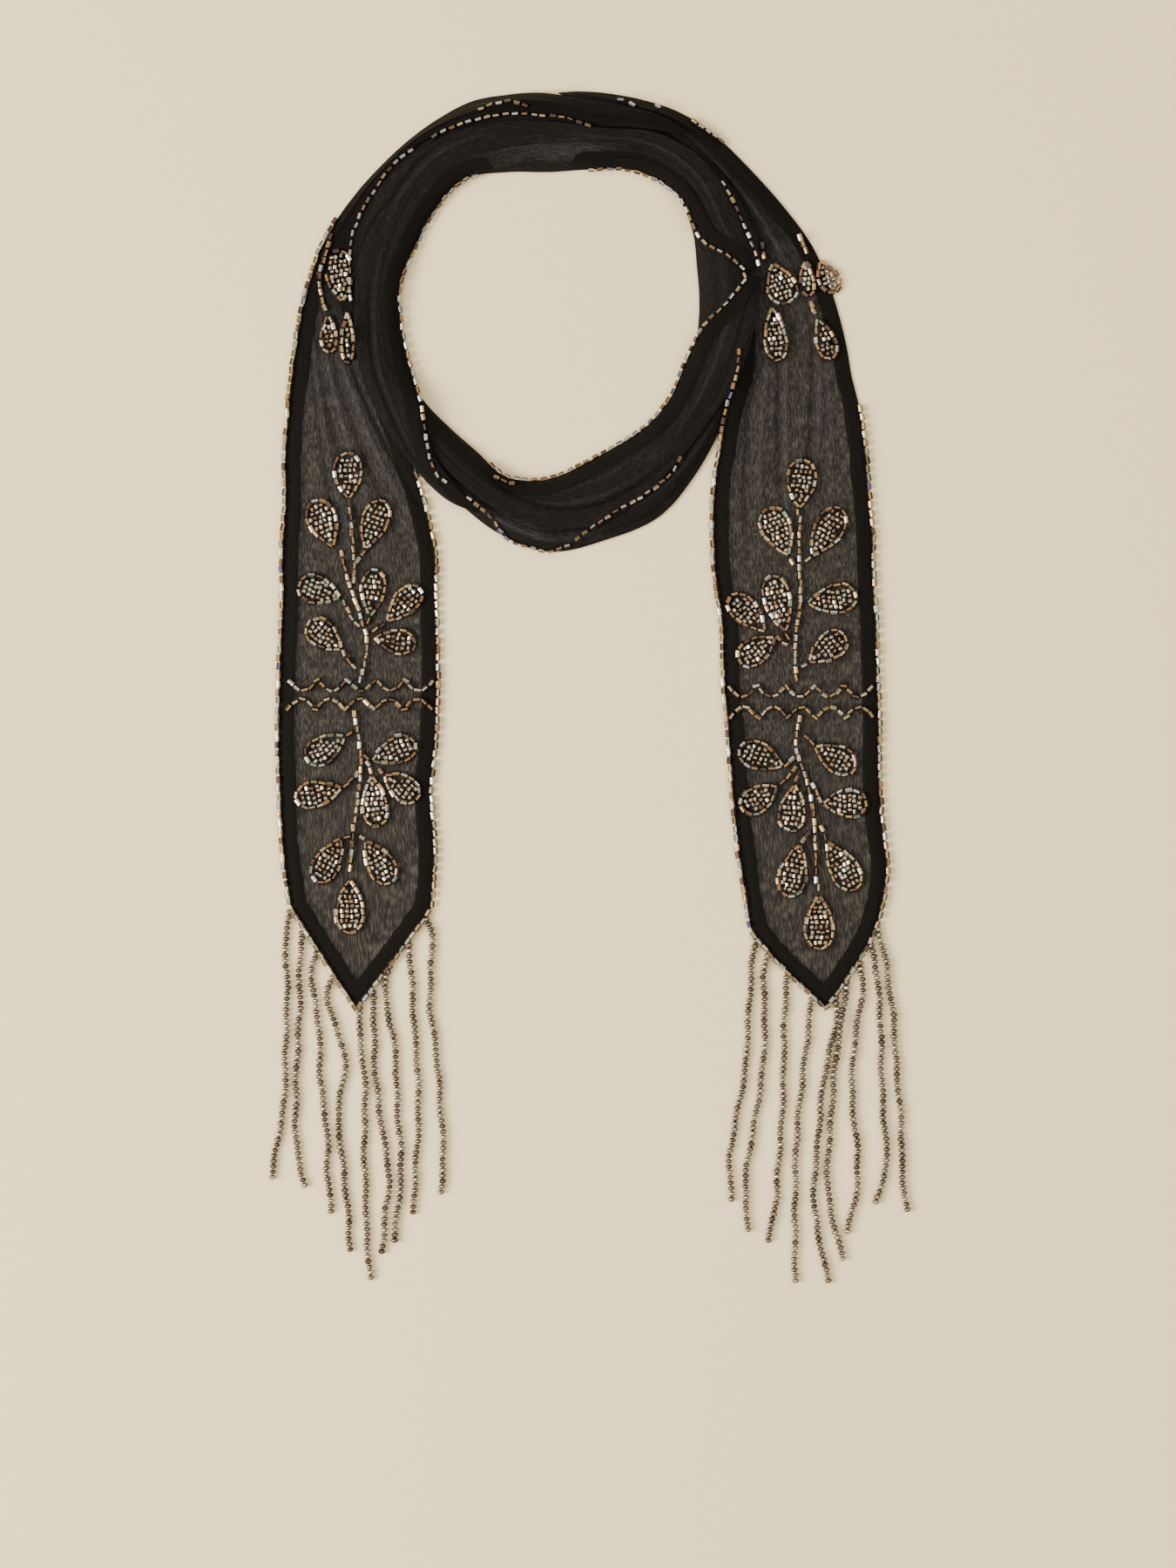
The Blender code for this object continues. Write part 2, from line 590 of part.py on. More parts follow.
def end_plan(sections, point, stations, across):
    outer, inner = end_edges(sections)
    return cross_rows(outer, inner, stations, across) + point_shift(stations, across, point)


def lay_end(name, laid, sections, point, folds):
    length = midline_lengths(*end_edges(sections))[-1]
    hem_rows = [0.0, HEM_WIDTH, HEM_WIDTH + HEM_STEP]
    stations = np.concatenate([hem_rows, even_stations(length, END_SPACING)[2:]])
    plan = end_plan(sections, point, stations, END_ACROSS)
    relief = fold_relief(folds, stations / length, END_ACROSS)
    hem = (np.abs(END_ACROSS) >= HEM_ACROSS)[None, :] | (stations <= HEM_WIDTH)[:, None]
    edge = (np.abs(END_ACROSS) >= 1.0)[None, :] | (stations <= 0.0)[:, None]
    hemmed = (stations / length < HEM_LENGTH_SHARE)[:, None]
    relief += np.where(hem & ~edge & hemmed, HEM_RISE, 0.0)
    lay_stretch(name, laid, plan, relief, "chiffon")


def lay_core(laid):
    """The hidden layers as one closed ring, stepped like plies at both edges."""
    sections = smooth_rows(CORE_SECTIONS, 6, closed=True)
    angles = np.linspace(0.0, 360.0, CORE_STATIONS, endpoint=False)
    turned = np.concatenate([np.arange(len(sections)) * 360.0 / len(sections), [360.0]])
    closed = np.concatenate([sections, sections[:1]])
    inner, outer, height = (np.interp(angles, turned, closed[:, column]) for column in (1, 2, 3))
    width, shoulder, step = CORE_STEP_WIDTH, CORE_SHOULDER_WIDTH, CORE_STEP_HEIGHT
    ring = []
    for k in range(CORE_STATIONS):
        crown = height[k]
        profile = [(inner[k], 0.0), (inner[k], step), (inner[k] + width, step),
                   (inner[k] + width, 2.0 * step),
                   (inner[k] + shoulder, crown - CORE_SHOULDER_DROP),
                   ((inner[k] + outer[k]) / 2.0, crown),
                   (outer[k] - shoulder, crown - CORE_SHOULDER_DROP),
                   (outer[k] - width, 2.0 * step), (outer[k] - width, step),
                   (outer[k], step), (outer[k], 0.0)]
        ring.append([(*ring_place(angles[k], radius), level) for radius, level in profile])
    points = np.array(ring)
    columns = points.shape[1]
    flat = points.reshape(-1, 3)
    solid = bmesh.new()
    verts = [solid.verts.new(place) for place in flat]
    triangles = []
    for k in range(CORE_STATIONS):
        following = (k + 1) % CORE_STATIONS
        for j in range(columns):
            after = (j + 1) % columns
            a, b = k * columns + j, k * columns + after
            c, d = following * columns + after, following * columns + j
            triangles += [(a, b, c), (a, c, d)]
    for a, b, c in triangles:
        solid.faces.new((verts[a], verts[b], verts[c]))
    laid.add(flat, triangles)
    add_node("ring_core", solid, "hidden_chiffon")


def leaf_solid(leaf, lift, depth):
    """A leaf of beadwork: a low edge and a crown, drawn out to a point at one end."""
    turn = math.radians(leaf.heading)
    along = np.array([math.cos(turn), math.sin(turn)])
    aside = np.array([-along[1], along[0]])
    solid = bmesh.new()
    rings = []
    levels = ((1.0, -depth), (1.0, LEAF_EDGE + lift), (LEAF_CROWN_SHARE, LEAF_CROWN + lift))
    for scale, height in levels:
        ring = []
        for k in range(LEAF_POINTS):
            around = 2.0 * math.pi * k / LEAF_POINTS
            forth = scale * leaf.length / 2.0 * math.cos(around)
            out = scale * leaf.width / 2.0 * math.sin(around) * (1.0 - LEAF_TAPER * math.cos(around))
            place = np.array([leaf.x, leaf.y]) + along * forth + aside * out
            ring.append(solid.verts.new((*place, height)))
        rings.append(ring)
    for low, high in zip(rings, rings[1:]):
        for k in range(LEAF_POINTS):
            after = (k + 1) % LEAF_POINTS
            solid.faces.new((low[k], low[after], high[after], high[k]))
    solid.faces.new(rings[0][::-1])
    solid.faces.new(rings[-1])
    return solid


def ribbon_solid(points, steps, height, depth=0.0):
    """A row of beads as a narrow bar that follows a smooth line through the points."""
    line = smooth_rows(points, steps)
    heading = np.gradient(line, axis=0)
    heading /= np.linalg.norm(heading, axis=1)[:, None]
    aside = np.stack([-heading[:, 1], heading[:, 0]], axis=1) * STEM_WIDTH / 2.0
    solid = bmesh.new()
    rings = []
    for place, side in zip(line, aside):
        corners = [(*(place + side), -depth), (*(place - side), -depth),
                   (*(place - side), height), (*(place + side), height)]
        rings.append([solid.verts.new(corner) for corner in corners])
    for back, front in zip(rings, rings[1:]):
        for k in range(4):
            after = (k + 1) % 4
            solid.faces.new((back[k], back[after], front[after], front[k]))
    solid.faces.new(rings[0][::-1])
    solid.faces.new(rings[-1])
    return solid


def join_solids(solids):
    """One closed body of solids that run into each other, cut off flat at height 0."""
    pieces = []
    for index, solid in enumerate(solids):
        bmesh.ops.recalc_face_normals(solid, faces=solid.faces)
        mesh = bpy.data.meshes.new("bead_piece")
        solid.to_mesh(mesh)
        solid.free()
        pieces.append(bpy.data.objects.new(f"bead_piece_{index}", mesh))
        bpy.context.scene.collection.objects.link(pieces[-1])
    base = pieces[0]
    for piece in pieces[1:]:
        union = base.modifiers.new("join", "BOOLEAN")
        union.operation = "UNION"
        union.solver = "EXACT"
        union.object = piece
    view = bpy.context.evaluated_depsgraph_get()
    joined = bmesh.new()
    joined.from_mesh(base.evaluated_get(view).to_mesh())
    for piece in pieces:
        mesh = piece.data
        bpy.data.objects.remove(piece)
        bpy.data.meshes.remove(mesh)
    everything = joined.verts[:] + joined.edges[:] + joined.faces[:]
    bmesh.ops.bisect_plane(joined, geom=everything, plane_co=(0, 0, 0), plane_no=(0, 0, 1),
                           clear_inner=True)
    bmesh.ops.remove_doubles(joined, verts=joined.verts, dist=0.01)
    bmesh.ops.dissolve_limit(joined, angle_limit=0.001, verts=joined.verts, edges=joined.edges)
    bmesh.ops.triangulate(joined, faces=joined.faces)
    open_edges = [edge for edge in joined.edges if edge.is_boundary]
    bmesh.ops.triangle_fill(joined, edges=open_edges, use_beauty=True)
    loose = [edge for edge in joined.edges if not edge.link_faces]
    bmesh.ops.delete(joined, geom=loose, context="EDGES")
    return joined


def lay_beadwork(name, laid, solid):
    """Lays beadwork with a flat back on the cloth, so that its back follows what it is sewn on."""
    solid.verts.ensure_lookup_table()
    solid.verts.index_update()
    places = np.array([vert.co[:] for vert in solid.verts])
    backs = []
    faces = []
    for face in solid.faces:
        corners = tuple(vert.index for vert in face.verts)
        faces.append(corners)
        if max(places[corner, 2] for corner in corners) < LEVEL_TOLERANCE:
            backs.append(corners)
    rest = laid.settle(places[:, :2], backs)
    places[:, 2] += rest
    for vert, place in zip(solid.verts, places):
        vert.co = place
    laid.add(places, faces)
    return add_node(name, solid, "cut_beads")


def leaf_stem(stem_line, leaf):
    """The way of a leaf's own stem: from the main stem to a place just inside the leaf's tip."""
    turn = math.radians(leaf.heading)
    towards = np.array([math.cos(turn), math.sin(turn)])
    start = stem_line[round(leaf.joint * (len(stem_line) - 1))]
    return [start, np.array([leaf.x, leaf.y]) + towards * leaf.length * STEM_END_SHARE]


def lay_spray(name, laid, leaves, stem):
    stem_line = smooth_rows(stem, 10)
    solids = [ribbon_solid(stem, 3, STEM_HEIGHT, BEAD_CUT_DEPTH)]
    for number, leaf in enumerate(leaves, 1):
        # Pieces that overlap are never level with each other, above or below
        lift = number * BEAD_LIFT_STEP
        depth = BEAD_CUT_DEPTH + lift
        solids.append(ribbon_solid(leaf_stem(stem_line, leaf), 1, STEM_HEIGHT - lift, depth))
        solids.append(leaf_solid(leaf, lift, depth + BEAD_LIFT_STEP / 2.0))
    lay_beadwork(name, laid, join_solids(solids))


def lay_scallops(side, laid):
    for scallop in SCALLOPS:
        if scallop.side != side:
            continue
        shares = np.linspace(0.0, 1.0, SCALLOP_STATIONS)
        start = np.array([scallop.left_x, scallop.left_y])
        end = np.array([scallop.right_x, scallop.right_y])
        line = start + (end - start) * shares[:, None]
        line[:, 1] += scallop.bulge * SCALLOP_DIP * np.abs(np.sin(np.pi * scallop.arcs * shares))
        bar = ribbon_solid(line, 1, STEM_HEIGHT)
        bmesh.ops.triangulate(bar, faces=bar.faces)
        lay_beadwork(f"{scallop.side}_{scallop.name}_scallop", laid, bar)


def point_edge(sections, point, across):
    """Places along the edge of a pointed end, a gap away from it, and the ways outwards."""
    fine = np.linspace(-1.0, 1.0, 401)
    edge = end_plan(sections, point, np.array([0.0]), fine)[0]
    if edge[0, 0] > edge[-1, 0]:
        edge = edge[::-1]
    heading = np.gradient(edge, axis=0)
    heading /= np.linalg.norm(heading, axis=1)[:, None]
    outwards = np.stack([heading[:, 1], -heading[:, 0]], axis=1)
    places = np.stack([np.interp(across, fine, edge[:, axis]) for axis in (0, 1)], axis=1)
    ways = np.stack([np.interp(across, fine, outwards[:, axis]) for axis in (0, 1)], axis=1)
    ways /= np.linalg.norm(ways, axis=1)[:, None]
    return places + ways * SEAM_GAP, ways


def grow_strand(solid, root, strand):
    """Pulls a strand of beads out of the edging's outer face; root is that face's four corners."""
    low_left, low_right = root[0].co, root[1].co
    root_x = (low_left.x + low_right.x) / 2.0
    start_y = min(low_left.y, low_right.y) - STRAND_NECK
    shares = np.linspace(0.0, 1.0, STRAND_STATIONS)
    sways = (0.0,) + tuple(strand)[2:]
    sway_line = smooth_rows(np.column_stack([SWAY_SHARES, sways]), 8)
    line = np.column_stack([root_x + np.interp(shares, sway_line[:, 0], sway_line[:, 1]),
                            start_y + (strand.end_y - start_y) * shares])
    heading = np.gradient(line, axis=0)
    heading /= np.linalg.norm(heading, axis=1)[:, None]
    aside = np.stack([-heading[:, 1], heading[:, 0]], axis=1) * STRAND_WIDTH / 2.0
    ring = root
    for place, side in zip(line, aside):
        left, right = place - side, place + side
        corners = [(*left, STRAND_LIFT), (*right, STRAND_LIFT),
                   (*right, STRAND_LIFT + STRAND_WIDTH), (*left, STRAND_LIFT + STRAND_WIDTH)]
        after = [solid.verts.new(corner) for corner in corners]
        for k in range(4):
            solid.faces.new((ring[k], ring[(k + 1) % 4], after[(k + 1) % 4], after[k]))
        ring = after
    solid.faces.new(ring)


def lay_fringe(name, sections, point, strands):
    """The bead edging of a pointed end, a narrow bar beside the hem, with the strands it carries."""
    half_root = STRAND_WIDTH / 2.0 / CLOTH_HALF_WIDTH
    roots = {}
    stops = {-1.0, 0.0, 1.0}
    for strand in strands:
        start = max(strand.root - half_root, -1.0)
        end = min(strand.root + half_root, 1.0)
        roots[start] = strand
        stops |= {start, end}
    across = np.array(sorted(stops))
    places, ways = point_edge(sections, point, across)
    solid = bmesh.new()
    rings = []
    for place, way in zip(places, ways):
        far = place + way * EDGING_WIDTH
        corners = [(*place, 0.0), (*far, 0.0), (*far, EDGING_HEIGHT), (*place, EDGING_HEIGHT)]
        rings.append([solid.verts.new(corner) for corner in corners])
    solid.faces.new(rings[0])
    solid.faces.new(rings[-1][::-1])
    for start, back, front in zip(across, rings, rings[1:]):
        for k in range(4):
            after = (k + 1) % 4
            if k == 1 and start in roots:
                grow_strand(solid, [back[1], front[1], front[2], back[2]], roots[start])
            else:
                solid.faces.new((back[k], back[after], front[after], front[k]))
    return add_node(name, solid, "seed_beads")


def build():
    for item in list(bpy.data.objects):
        bpy.data.objects.remove(item)
    laid = LaidCloth()
    lay_core(laid)
    lay_turn("under_turn", laid, UNDER_TURN, UNDER_FOLDS)
    lay_turn("outer_turn", laid, OUTER_TURN, OUTER_FOLDS)
    lay_end("right_end", laid, RIGHT_END, RIGHT_POINT, RIGHT_FOLDS)
    lay_end("left_end", laid, LEFT_END, LEFT_POINT, LEFT_FOLDS)
    lay_spray("right_shoulder_spray", laid, RIGHT_SHOULDER_LEAVES, RIGHT_SHOULDER_STEM)
    lay_spray("left_shoulder_spray", laid, LEFT_SHOULDER_LEAVES, LEFT_SHOULDER_STEM)
    lay_turn("lower_turn", laid, LOWER_TURN, LOWER_FOLDS)
    lay_turn("upper_turn", laid, UPPER_TURN, UPPER_FOLDS)
    lay_spray("left_upper_spray", laid, LEFT_UPPER_LEAVES, LEFT_UPPER_STEM)
    lay_spray("left_lower_spray", laid, LEFT_LOWER_LEAVES, LEFT_LOWER_STEM)
    lay_spray("right_upper_spray", laid, RIGHT_UPPER_LEAVES, RIGHT_UPPER_STEM)
    lay_spray("right_lower_spray", laid, RIGHT_LOWER_LEAVES, RIGHT_LOWER_STEM)
    lay_scallops("left", laid)
    lay_scallops("right", laid)
    lay_fringe("left_fringe", LEFT_END, LEFT_POINT, LEFT_STRANDS)
    lay_fringe("right_fringe", RIGHT_END, RIGHT_POINT, RIGHT_STRANDS)


build()
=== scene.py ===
import math
import random

import bmesh
import bpy
import numpy as np
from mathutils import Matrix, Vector
from mathutils.bvhtree import BVHTree


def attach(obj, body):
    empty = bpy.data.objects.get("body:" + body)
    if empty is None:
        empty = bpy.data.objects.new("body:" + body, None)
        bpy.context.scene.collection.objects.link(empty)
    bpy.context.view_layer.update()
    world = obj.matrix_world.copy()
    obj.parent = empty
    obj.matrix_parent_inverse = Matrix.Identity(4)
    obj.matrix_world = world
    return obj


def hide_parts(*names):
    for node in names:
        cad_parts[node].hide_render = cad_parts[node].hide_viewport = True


# A skinny black chiffon scarf with beaded edges, laid flat. Its sizes and places are in millimetres:
# x to the right of the laid scarf, y up along it, z up from the table. The patterns of the finishes,
# the table and the lights are in metres.
mm = 0.001
farOff = 50.0          # well above or below all of the scarf

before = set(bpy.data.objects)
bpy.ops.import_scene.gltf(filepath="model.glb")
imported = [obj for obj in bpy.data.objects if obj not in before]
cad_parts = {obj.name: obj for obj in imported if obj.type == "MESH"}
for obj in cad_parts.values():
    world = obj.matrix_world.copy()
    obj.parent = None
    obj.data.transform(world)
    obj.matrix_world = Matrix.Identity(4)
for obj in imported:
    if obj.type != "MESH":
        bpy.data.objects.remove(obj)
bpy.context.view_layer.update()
bpy.ops.object.select_all(action="DESELECT")
print("frame loaded")


# Shader helpers: a socket that can be added, multiplied and compared, and a finish with one adder
class Wire:
    def __init__(self, finish, socket):
        self.finish = finish
        self.socket = socket

    def maths(self, operation, first, second):
        return self.finish.add("ShaderNodeMath", {"operation": operation}, {0: first, 1: second})

    def __add__(self, other):
        return self.maths("ADD", self, other)

    def __radd__(self, other):
        return self.maths("ADD", other, self)

    def __sub__(self, other):
        return self.maths("SUBTRACT", self, other)

    def __rsub__(self, other):
        return self.maths("SUBTRACT", other, self)

    def __mul__(self, other):
        return self.maths("MULTIPLY", self, other)

    def __rmul__(self, other):
        return self.maths("MULTIPLY", other, self)

    def __truediv__(self, other):
        return self.maths("DIVIDE", self, other)

    def __rtruediv__(self, other):
        return self.maths("DIVIDE", other, self)

    def __abs__(self):
        return self.maths("ABSOLUTE", self, 0.0)

    def clamp(self, low, high):
        return self.maths("MINIMUM", self.maths("MAXIMUM", self, low), high)


class Finish:
    def __init__(self, name, fixed):
        self.material = bpy.data.materials.new(name)
        self.material.use_nodes = True
        self.tree = self.material.node_tree
        self.shader = self.tree.nodes["Principled BSDF"]
        for socket, value in fixed.items():
            self.shader.inputs[socket].default_value = value

    def add(self, kind, settings=None, inputs=None, out=0):
        node = self.tree.nodes.new(kind)
        for key, value in (settings or {}).items():
            setattr(node, key, value)
        for key, value in (inputs or {}).items():
            self.feed(node.inputs[key], value)
        return Wire(self, node.outputs[out])

    def feed(self, socket, value):
        if isinstance(value, Wire):
            self.tree.links.new(value.socket, socket)
        else:
            socket.default_value = value

    def set(self, **inputs):
        for key, value in inputs.items():
            self.feed(self.shader.inputs[key.replace("_", " ")], value)
        return self.material

    def attribute(self, name, out=2):
        # output 0 is a colour and output 2 a number
        return self.add("ShaderNodeAttribute", {"attribute_name": name}, out=out)

    def place(self):
        return self.add("ShaderNodeTexCoord", out="Object")

    def noise(self, place, crowding, detail=2.0, rough=0.5):
        # crowding is how many waves there are to the metre along each axis
        crowded = self.add("ShaderNodeMapping", {}, {"Vector": place, "Scale": crowding})
        return self.add("ShaderNodeTexNoise", {"noise_dimensions": "3D"},
                        {"Vector": crowded, "Scale": 1.0, "Detail": detail, "Roughness": rough})

    def between(self, share, start, end):
        # two colours mixed: their sockets are 6 and 7, and the mixed colour's is 2
        return self.add("ShaderNodeMix", {"data_type": "RGBA"}, {0: share, 6: start, 7: end}, out=2)

    def bump(self, height, strength, distance):
        return self.add("ShaderNodeBump", {}, {"Height": height, "Strength": strength,
                                               "Distance": distance})


# Plan helpers: smooth lines, and the grid of places of a stretch of cloth
ringCentre = np.array([-15.2, 132.5])


def smoothRows(rows, steps):
    rows = np.array(rows, dtype=float)
    last = len(rows) - 1
    place = np.arange(last * steps + 1) / steps
    first = np.minimum(place.astype(int), last - 1)
    share = (place - first)[:, None]
    before, start, end, after = (rows[np.clip(first + k, 0, last)] for k in (-1, 0, 1, 2))
    return 0.5 * (2.0 * start + (end - before) * share
                  + (2.0 * before - 5.0 * start + 4.0 * end - after) * share ** 2
                  + (3.0 * start - before - 3.0 * end + after) * share ** 3)


def ringPlace(angle, radius):
    turn = np.radians(angle)
    return ringCentre + np.stack([radius * np.cos(turn), radius * np.sin(turn)], axis=-1)


def edgesOf(stretch):
    rows = smoothRows(stretch["edges"], 12)
    if stretch["kind"] == "turn":
        return ringPlace(rows[:, 0], rows[:, 2]), ringPlace(rows[:, 0], rows[:, 1])
    return rows[:, :2], rows[:, 2:]


def lengthsAlong(line):
    return np.concatenate([[0.0], np.cumsum(np.linalg.norm(np.diff(line, axis=0), axis=1))])


def readLine(line, lengths, places):
    return np.stack([np.interp(places, lengths, line[:, k]) for k in range(line.shape[1])], axis=1)


def planOf(stretch, stations, across):
    outer, inner = edgesOf(stretch)
    lengths = lengthsAlong((outer + inner) / 2.0)
    start = readLine(outer, lengths, stations)[:, None, :]
    end = readLine(inner, lengths, stations)[:, None, :]
    share = ((across + 1.0) / 2.0)[None, :, None]
    plan = start * (1.0 - share) + end * share
    if "tip" in stretch:
        fade = np.clip(1.0 - stations / stretch["blend"], 0.0, 1.0)[:, None]
        reach = (1.0 - np.abs(across))[None, :] ** stretch["roundness"]
        plan = plan + (fade * reach)[:, :, None] * np.array(stretch["tip"])
    return plan


def foldHeights(folds, shares, across):
    relief = np.zeros((len(shares), len(across)))
    for start, end, acrossStart, acrossEnd, height, halfWidth in folds:
        along = (shares - start) / (end - start)
        fade = np.sin(np.pi * np.clip(along, 0.0, 1.0)) ** cloth["foldFade"]
        middle = acrossStart + (acrossEnd - acrossStart) * np.clip(along, 0.0, 1.0)
        away = np.abs(across[None, :] - middle[:, None]) / halfWidth
        relief += height * fade[:, None] * np.cos(np.pi / 2.0 * np.clip(away, 0.0, 1.0)) ** 2
    return relief


def nearestOn(line, place):
    return int(np.argmin(np.linalg.norm(line - np.array(place), axis=1)))


def partOf(line, start, stop):
    # the part of a line between the places on it that are nearest to two given ones
    first = 0 if start is None else nearestOn(line, start)
    last = len(line) - 1 if stop is None else nearestOn(line, stop)
    return line[min(first, last):max(first, last) + 1]


def treeOf(*things):
    points, faces = [], []
    for thing in things:
        base = len(points)
        points += [vert.co.copy() for vert in thing.data.vertices]
        faces += [[base + index for index in face.vertices] for face in thing.data.polygons]
    return BVHTree.FromPolygons(points, faces)


def raysOn(tree, plan, starts, down):
    height = np.full(len(plan), np.nan)
    way = Vector((0.0, 0.0, -1.0 if down else 1.0))
    for index, (x, y) in enumerate(plan):
        hit = tree.ray_cast(Vector((x * mm, y * mm, starts[index] * mm)), way)[0]
        if hit is not None:
            height[index] = hit.z / mm
    return height


def filled(grid):
    # places just outside the faceted solid take the height of their neighbours
    while np.isnan(grid).any():
        padded = np.pad(grid, 1, constant_values=np.nan)
        around = np.stack([padded[1:-1, :-2], padded[1:-1, 2:], padded[:-2, 1:-1], padded[2:, 1:-1]])
        known = ~np.isnan(around)
        mean = np.where(known, around, 0.0).sum(axis=0) / np.maximum(known.sum(axis=0), 1)
        grid = np.where(np.isnan(grid) & known.any(axis=0), mean, grid)
    return grid


def blurred(grid, times):
    for _ in range(times):
        padded = np.pad(grid, 1, mode="edge")
        grid = (padded[1:-1, 1:-1] * 2.0 + padded[:-2, 1:-1] + padded[2:, 1:-1]
                + padded[1:-1, :-2] + padded[1:-1, 2:]) / 6.0
    return grid


def awayFromLine(points, line):
    starts, steps = line[:-1], np.diff(line, axis=0)
    along = np.einsum("psk,sk->ps", points[:, None, :] - starts[None], steps)
    share = np.clip(along / np.maximum((steps ** 2).sum(axis=1), 1e-9), 0.0, 1.0)
    nearest = starts[None] + share[:, :, None] * steps[None]
    return np.linalg.norm(points[:, None, :] - nearest, axis=2).min(axis=1)


# The chiffon: crinkled lengthwise, see-through between the turned hems where it lies single
cloth = {
    "wall": 0.25,          # thickness of the shell
    "sink": 0.2,           # how far the shell lies below the top of its solid
    "stand": 0.9,          # how far a fold may stand up above it
    "underGap": 0.05,      # least room between the shell and the underside of its solid
    "roofGap": 0.3,        # least room between the shell and a stretch above it
    "roofStart": 0.1,      # how far below its own top a stretch above is looked for
    "openRoof": 20.0,      # room where no stretch lies above
    "hemWidth": 5.8,
    "hemRise": 0.3,
    "hemStep": 0.8,        # width of the step from the hem to the cloth
    "unhemmed": 1000.0,    # distance from a hem where there is none
    "foldFade": 0.6,       # the lower, the sooner a fold rises from its ends
    "fullFold": 0.8,       # height of a fold that has its full tone
    "patchSlope": 1.8,     # how steeply a soft patch ends
    "crowding": 0.9,       # how much closer the columns stand towards the edges
    "smoothing": 4,        # rounds in which the facets of the solid are smoothed away
    "sharpAngle": 50.0,
}
clothNodes = ["left_end", "right_end", "upper_turn", "lower_turn", "outer_turn", "under_turn"]
chiffonLook = {
    "shader": {"Roughness": 0.74, "Specular IOR Level": 0.06, "Sheen Weight": 0.025,
               "Sheen Roughness": 0.4, "Sheen Tint": (1.0, 0.86, 0.68, 1.0)},
    "hem": (0.0055, 0.0043, 0.0030, 1.0),
    "layered": (0.0080, 0.0064, 0.0050, 1.0),
    "veil": (0.0150, 0.0132, 0.0122, 1.0),
    # crest is the lighter tone of the crinkle's streaks, and the same tone is painted on the ridges of
    # folds as a highlight
    "crest": (0.0660, 0.0585, 0.0545, 1.0),
    # painted shade: this dark tone is laid along the valleys of the folds
    "creaseShade": (0.0022, 0.0018, 0.0015, 1.0),
    "open": 0.350,               # how much one surface of the single cloth lets through
    "openShares": (0.70, 0.65),  # of that, what a streak adds and what is there without it
    "mostOpen": 0.9,
    "foldCover": 0.55,           # how much of it a fold closes
    "crinkle": (1500.0, 230.0, 1.0),
    "fineCrinkle": (2900.0, 480.0, 1.0),
    "cockle": (420.0, 90.0, 1.0),
    "streakShares": (3.0, 3.4, 0.5),    # of the three patterns in the streaks
    "bumpShares": (0.55, 0.25, 0.5),    # and in the bump
    "bump": (0.8, 0.0009),
    "wobble": 0.0016,            # how unevenly the inner edge of a hem runs
    "hemBlur": 0.0003,
    "layeredLow": 0.35,          # share of the layered tone between streaks
    "crestFrom": 0.50,
    "crestShares": (0.22, 1.30),        # on layered and on single cloth
    "ridgeHighlightLow": 0.4,             # share of a ridge's painted highlight between streaks
    # how strongly the ridges of folds are painted lighter as a highlight, on layered and on single
    # cloth
    "ridgeHighlightShares": (0.28, 0.30),
    "creaseShadeShare": 0.8,
}


def chiffonFinish(name):
    look = chiffonLook
    finish = Finish(name, look["shader"])
    place = finish.add("ShaderNodeUVMap", {"uv_map": "cloth"})
    crinkle = finish.noise(place, look["crinkle"], 3.0, 0.6)
    fine = finish.noise(place, look["fineCrinkle"], 2.0, 0.6)
    cockle = finish.noise(place, look["cockle"])
    first, second, third = look["streakShares"]
    streaks = (crinkle - 0.5) * first + (fine - 0.5) * second + (cockle - 0.5) * third + 0.5
    streaks = streaks.clamp(0.0, 1.0)
    fold = finish.attribute("fold")
    wobble = (cockle - 0.5) * look["wobble"]
    away = finish.attribute("hemDistance") - cloth["hemWidth"] * mm + wobble
    inside = (away / look["hemBlur"]).clamp(0.0, 1.0)
    single = inside * finish.attribute("sheer")
    dense = 1.0 - abs(fold) * look["foldCover"]
    added, always = look["openShares"]
    hole = single * (streaks * added + always) * dense * look["open"]
    low = look["layeredLow"]
    tone = finish.between(inside * (low + (1.0 - low) * streaks), look["hem"], look["layered"])
    tone = finish.between(single, tone, look["veil"])
    onLayers, onSingle = look["crestShares"]
    crest = (streaks - look["crestFrom"]).clamp(0.0, 1.0) * (onLayers * inside + onSingle * single)
    # painted highlight: the ridges of the folds, where the fold attribute is above 0, are drawn
    # lighter, as where they catch the light
    low = look["ridgeHighlightLow"]
    onLayers, onSingle = look["ridgeHighlightShares"]
    ridgeHighlight = fold.clamp(0.0, 1.0) * (streaks * (1.0 - low) + low)
    ridgeHighlight = ridgeHighlight * (onLayers * inside + onSingle * single)
    tone = finish.between((crest + ridgeHighlight).clamp(0.0, 1.0), tone, look["crest"])
    # painted shade: the valleys of the folds, where the fold attribute is below 0, are drawn darker,
    # as where shade falls in them
    creaseShade = (0.0 - fold).clamp(0.0, 1.0) * look["creaseShadeShare"]
    tone = finish.between(creaseShade, tone, look["creaseShade"])
    first, second, third = look["bumpShares"]
    height = crinkle * first + fine * second + cockle * third
    return finish.set(Base_Color=tone, Alpha=1.0 - hole.clamp(0.0, look["mostOpen"]),
                      Normal=finish.bump(height, *look["bump"]))


chiffon = chiffonFinish("chiffon")
clothPieces = {}


def gridFor(name, points):
    # a flat grid, added as a primitive and then laid out row by row
    rows, columns = points.shape[:2]
    bpy.ops.object.select_all(action="DESELECT")
    bpy.ops.mesh.primitive_grid_add(x_subdivisions=columns - 1, y_subdivisions=rows - 1, size=2.0)
    piece = bpy.context.object
    piece.name = name
    mesh = piece.data
    mesh.name = name
    spot = np.empty(len(mesh.vertices) * 3)
    mesh.vertices.foreach_get("co", spot)
    spot = spot.reshape(-1, 3)
    column = np.rint((spot[:, 0] + 1.0) / 2.0 * (columns - 1)).astype(int)
    row = np.rint((spot[:, 1] + 1.0) / 2.0 * (rows - 1)).astype(int)
    order = row * columns + column
    mesh.vertices.foreach_set("co", (points.reshape(-1, 3)[order] * mm).ravel())
    mesh.update()
    if sum(face.normal.z for face in mesh.polygons) < 0.0:
        mesh.flip_normals()
    return piece, order


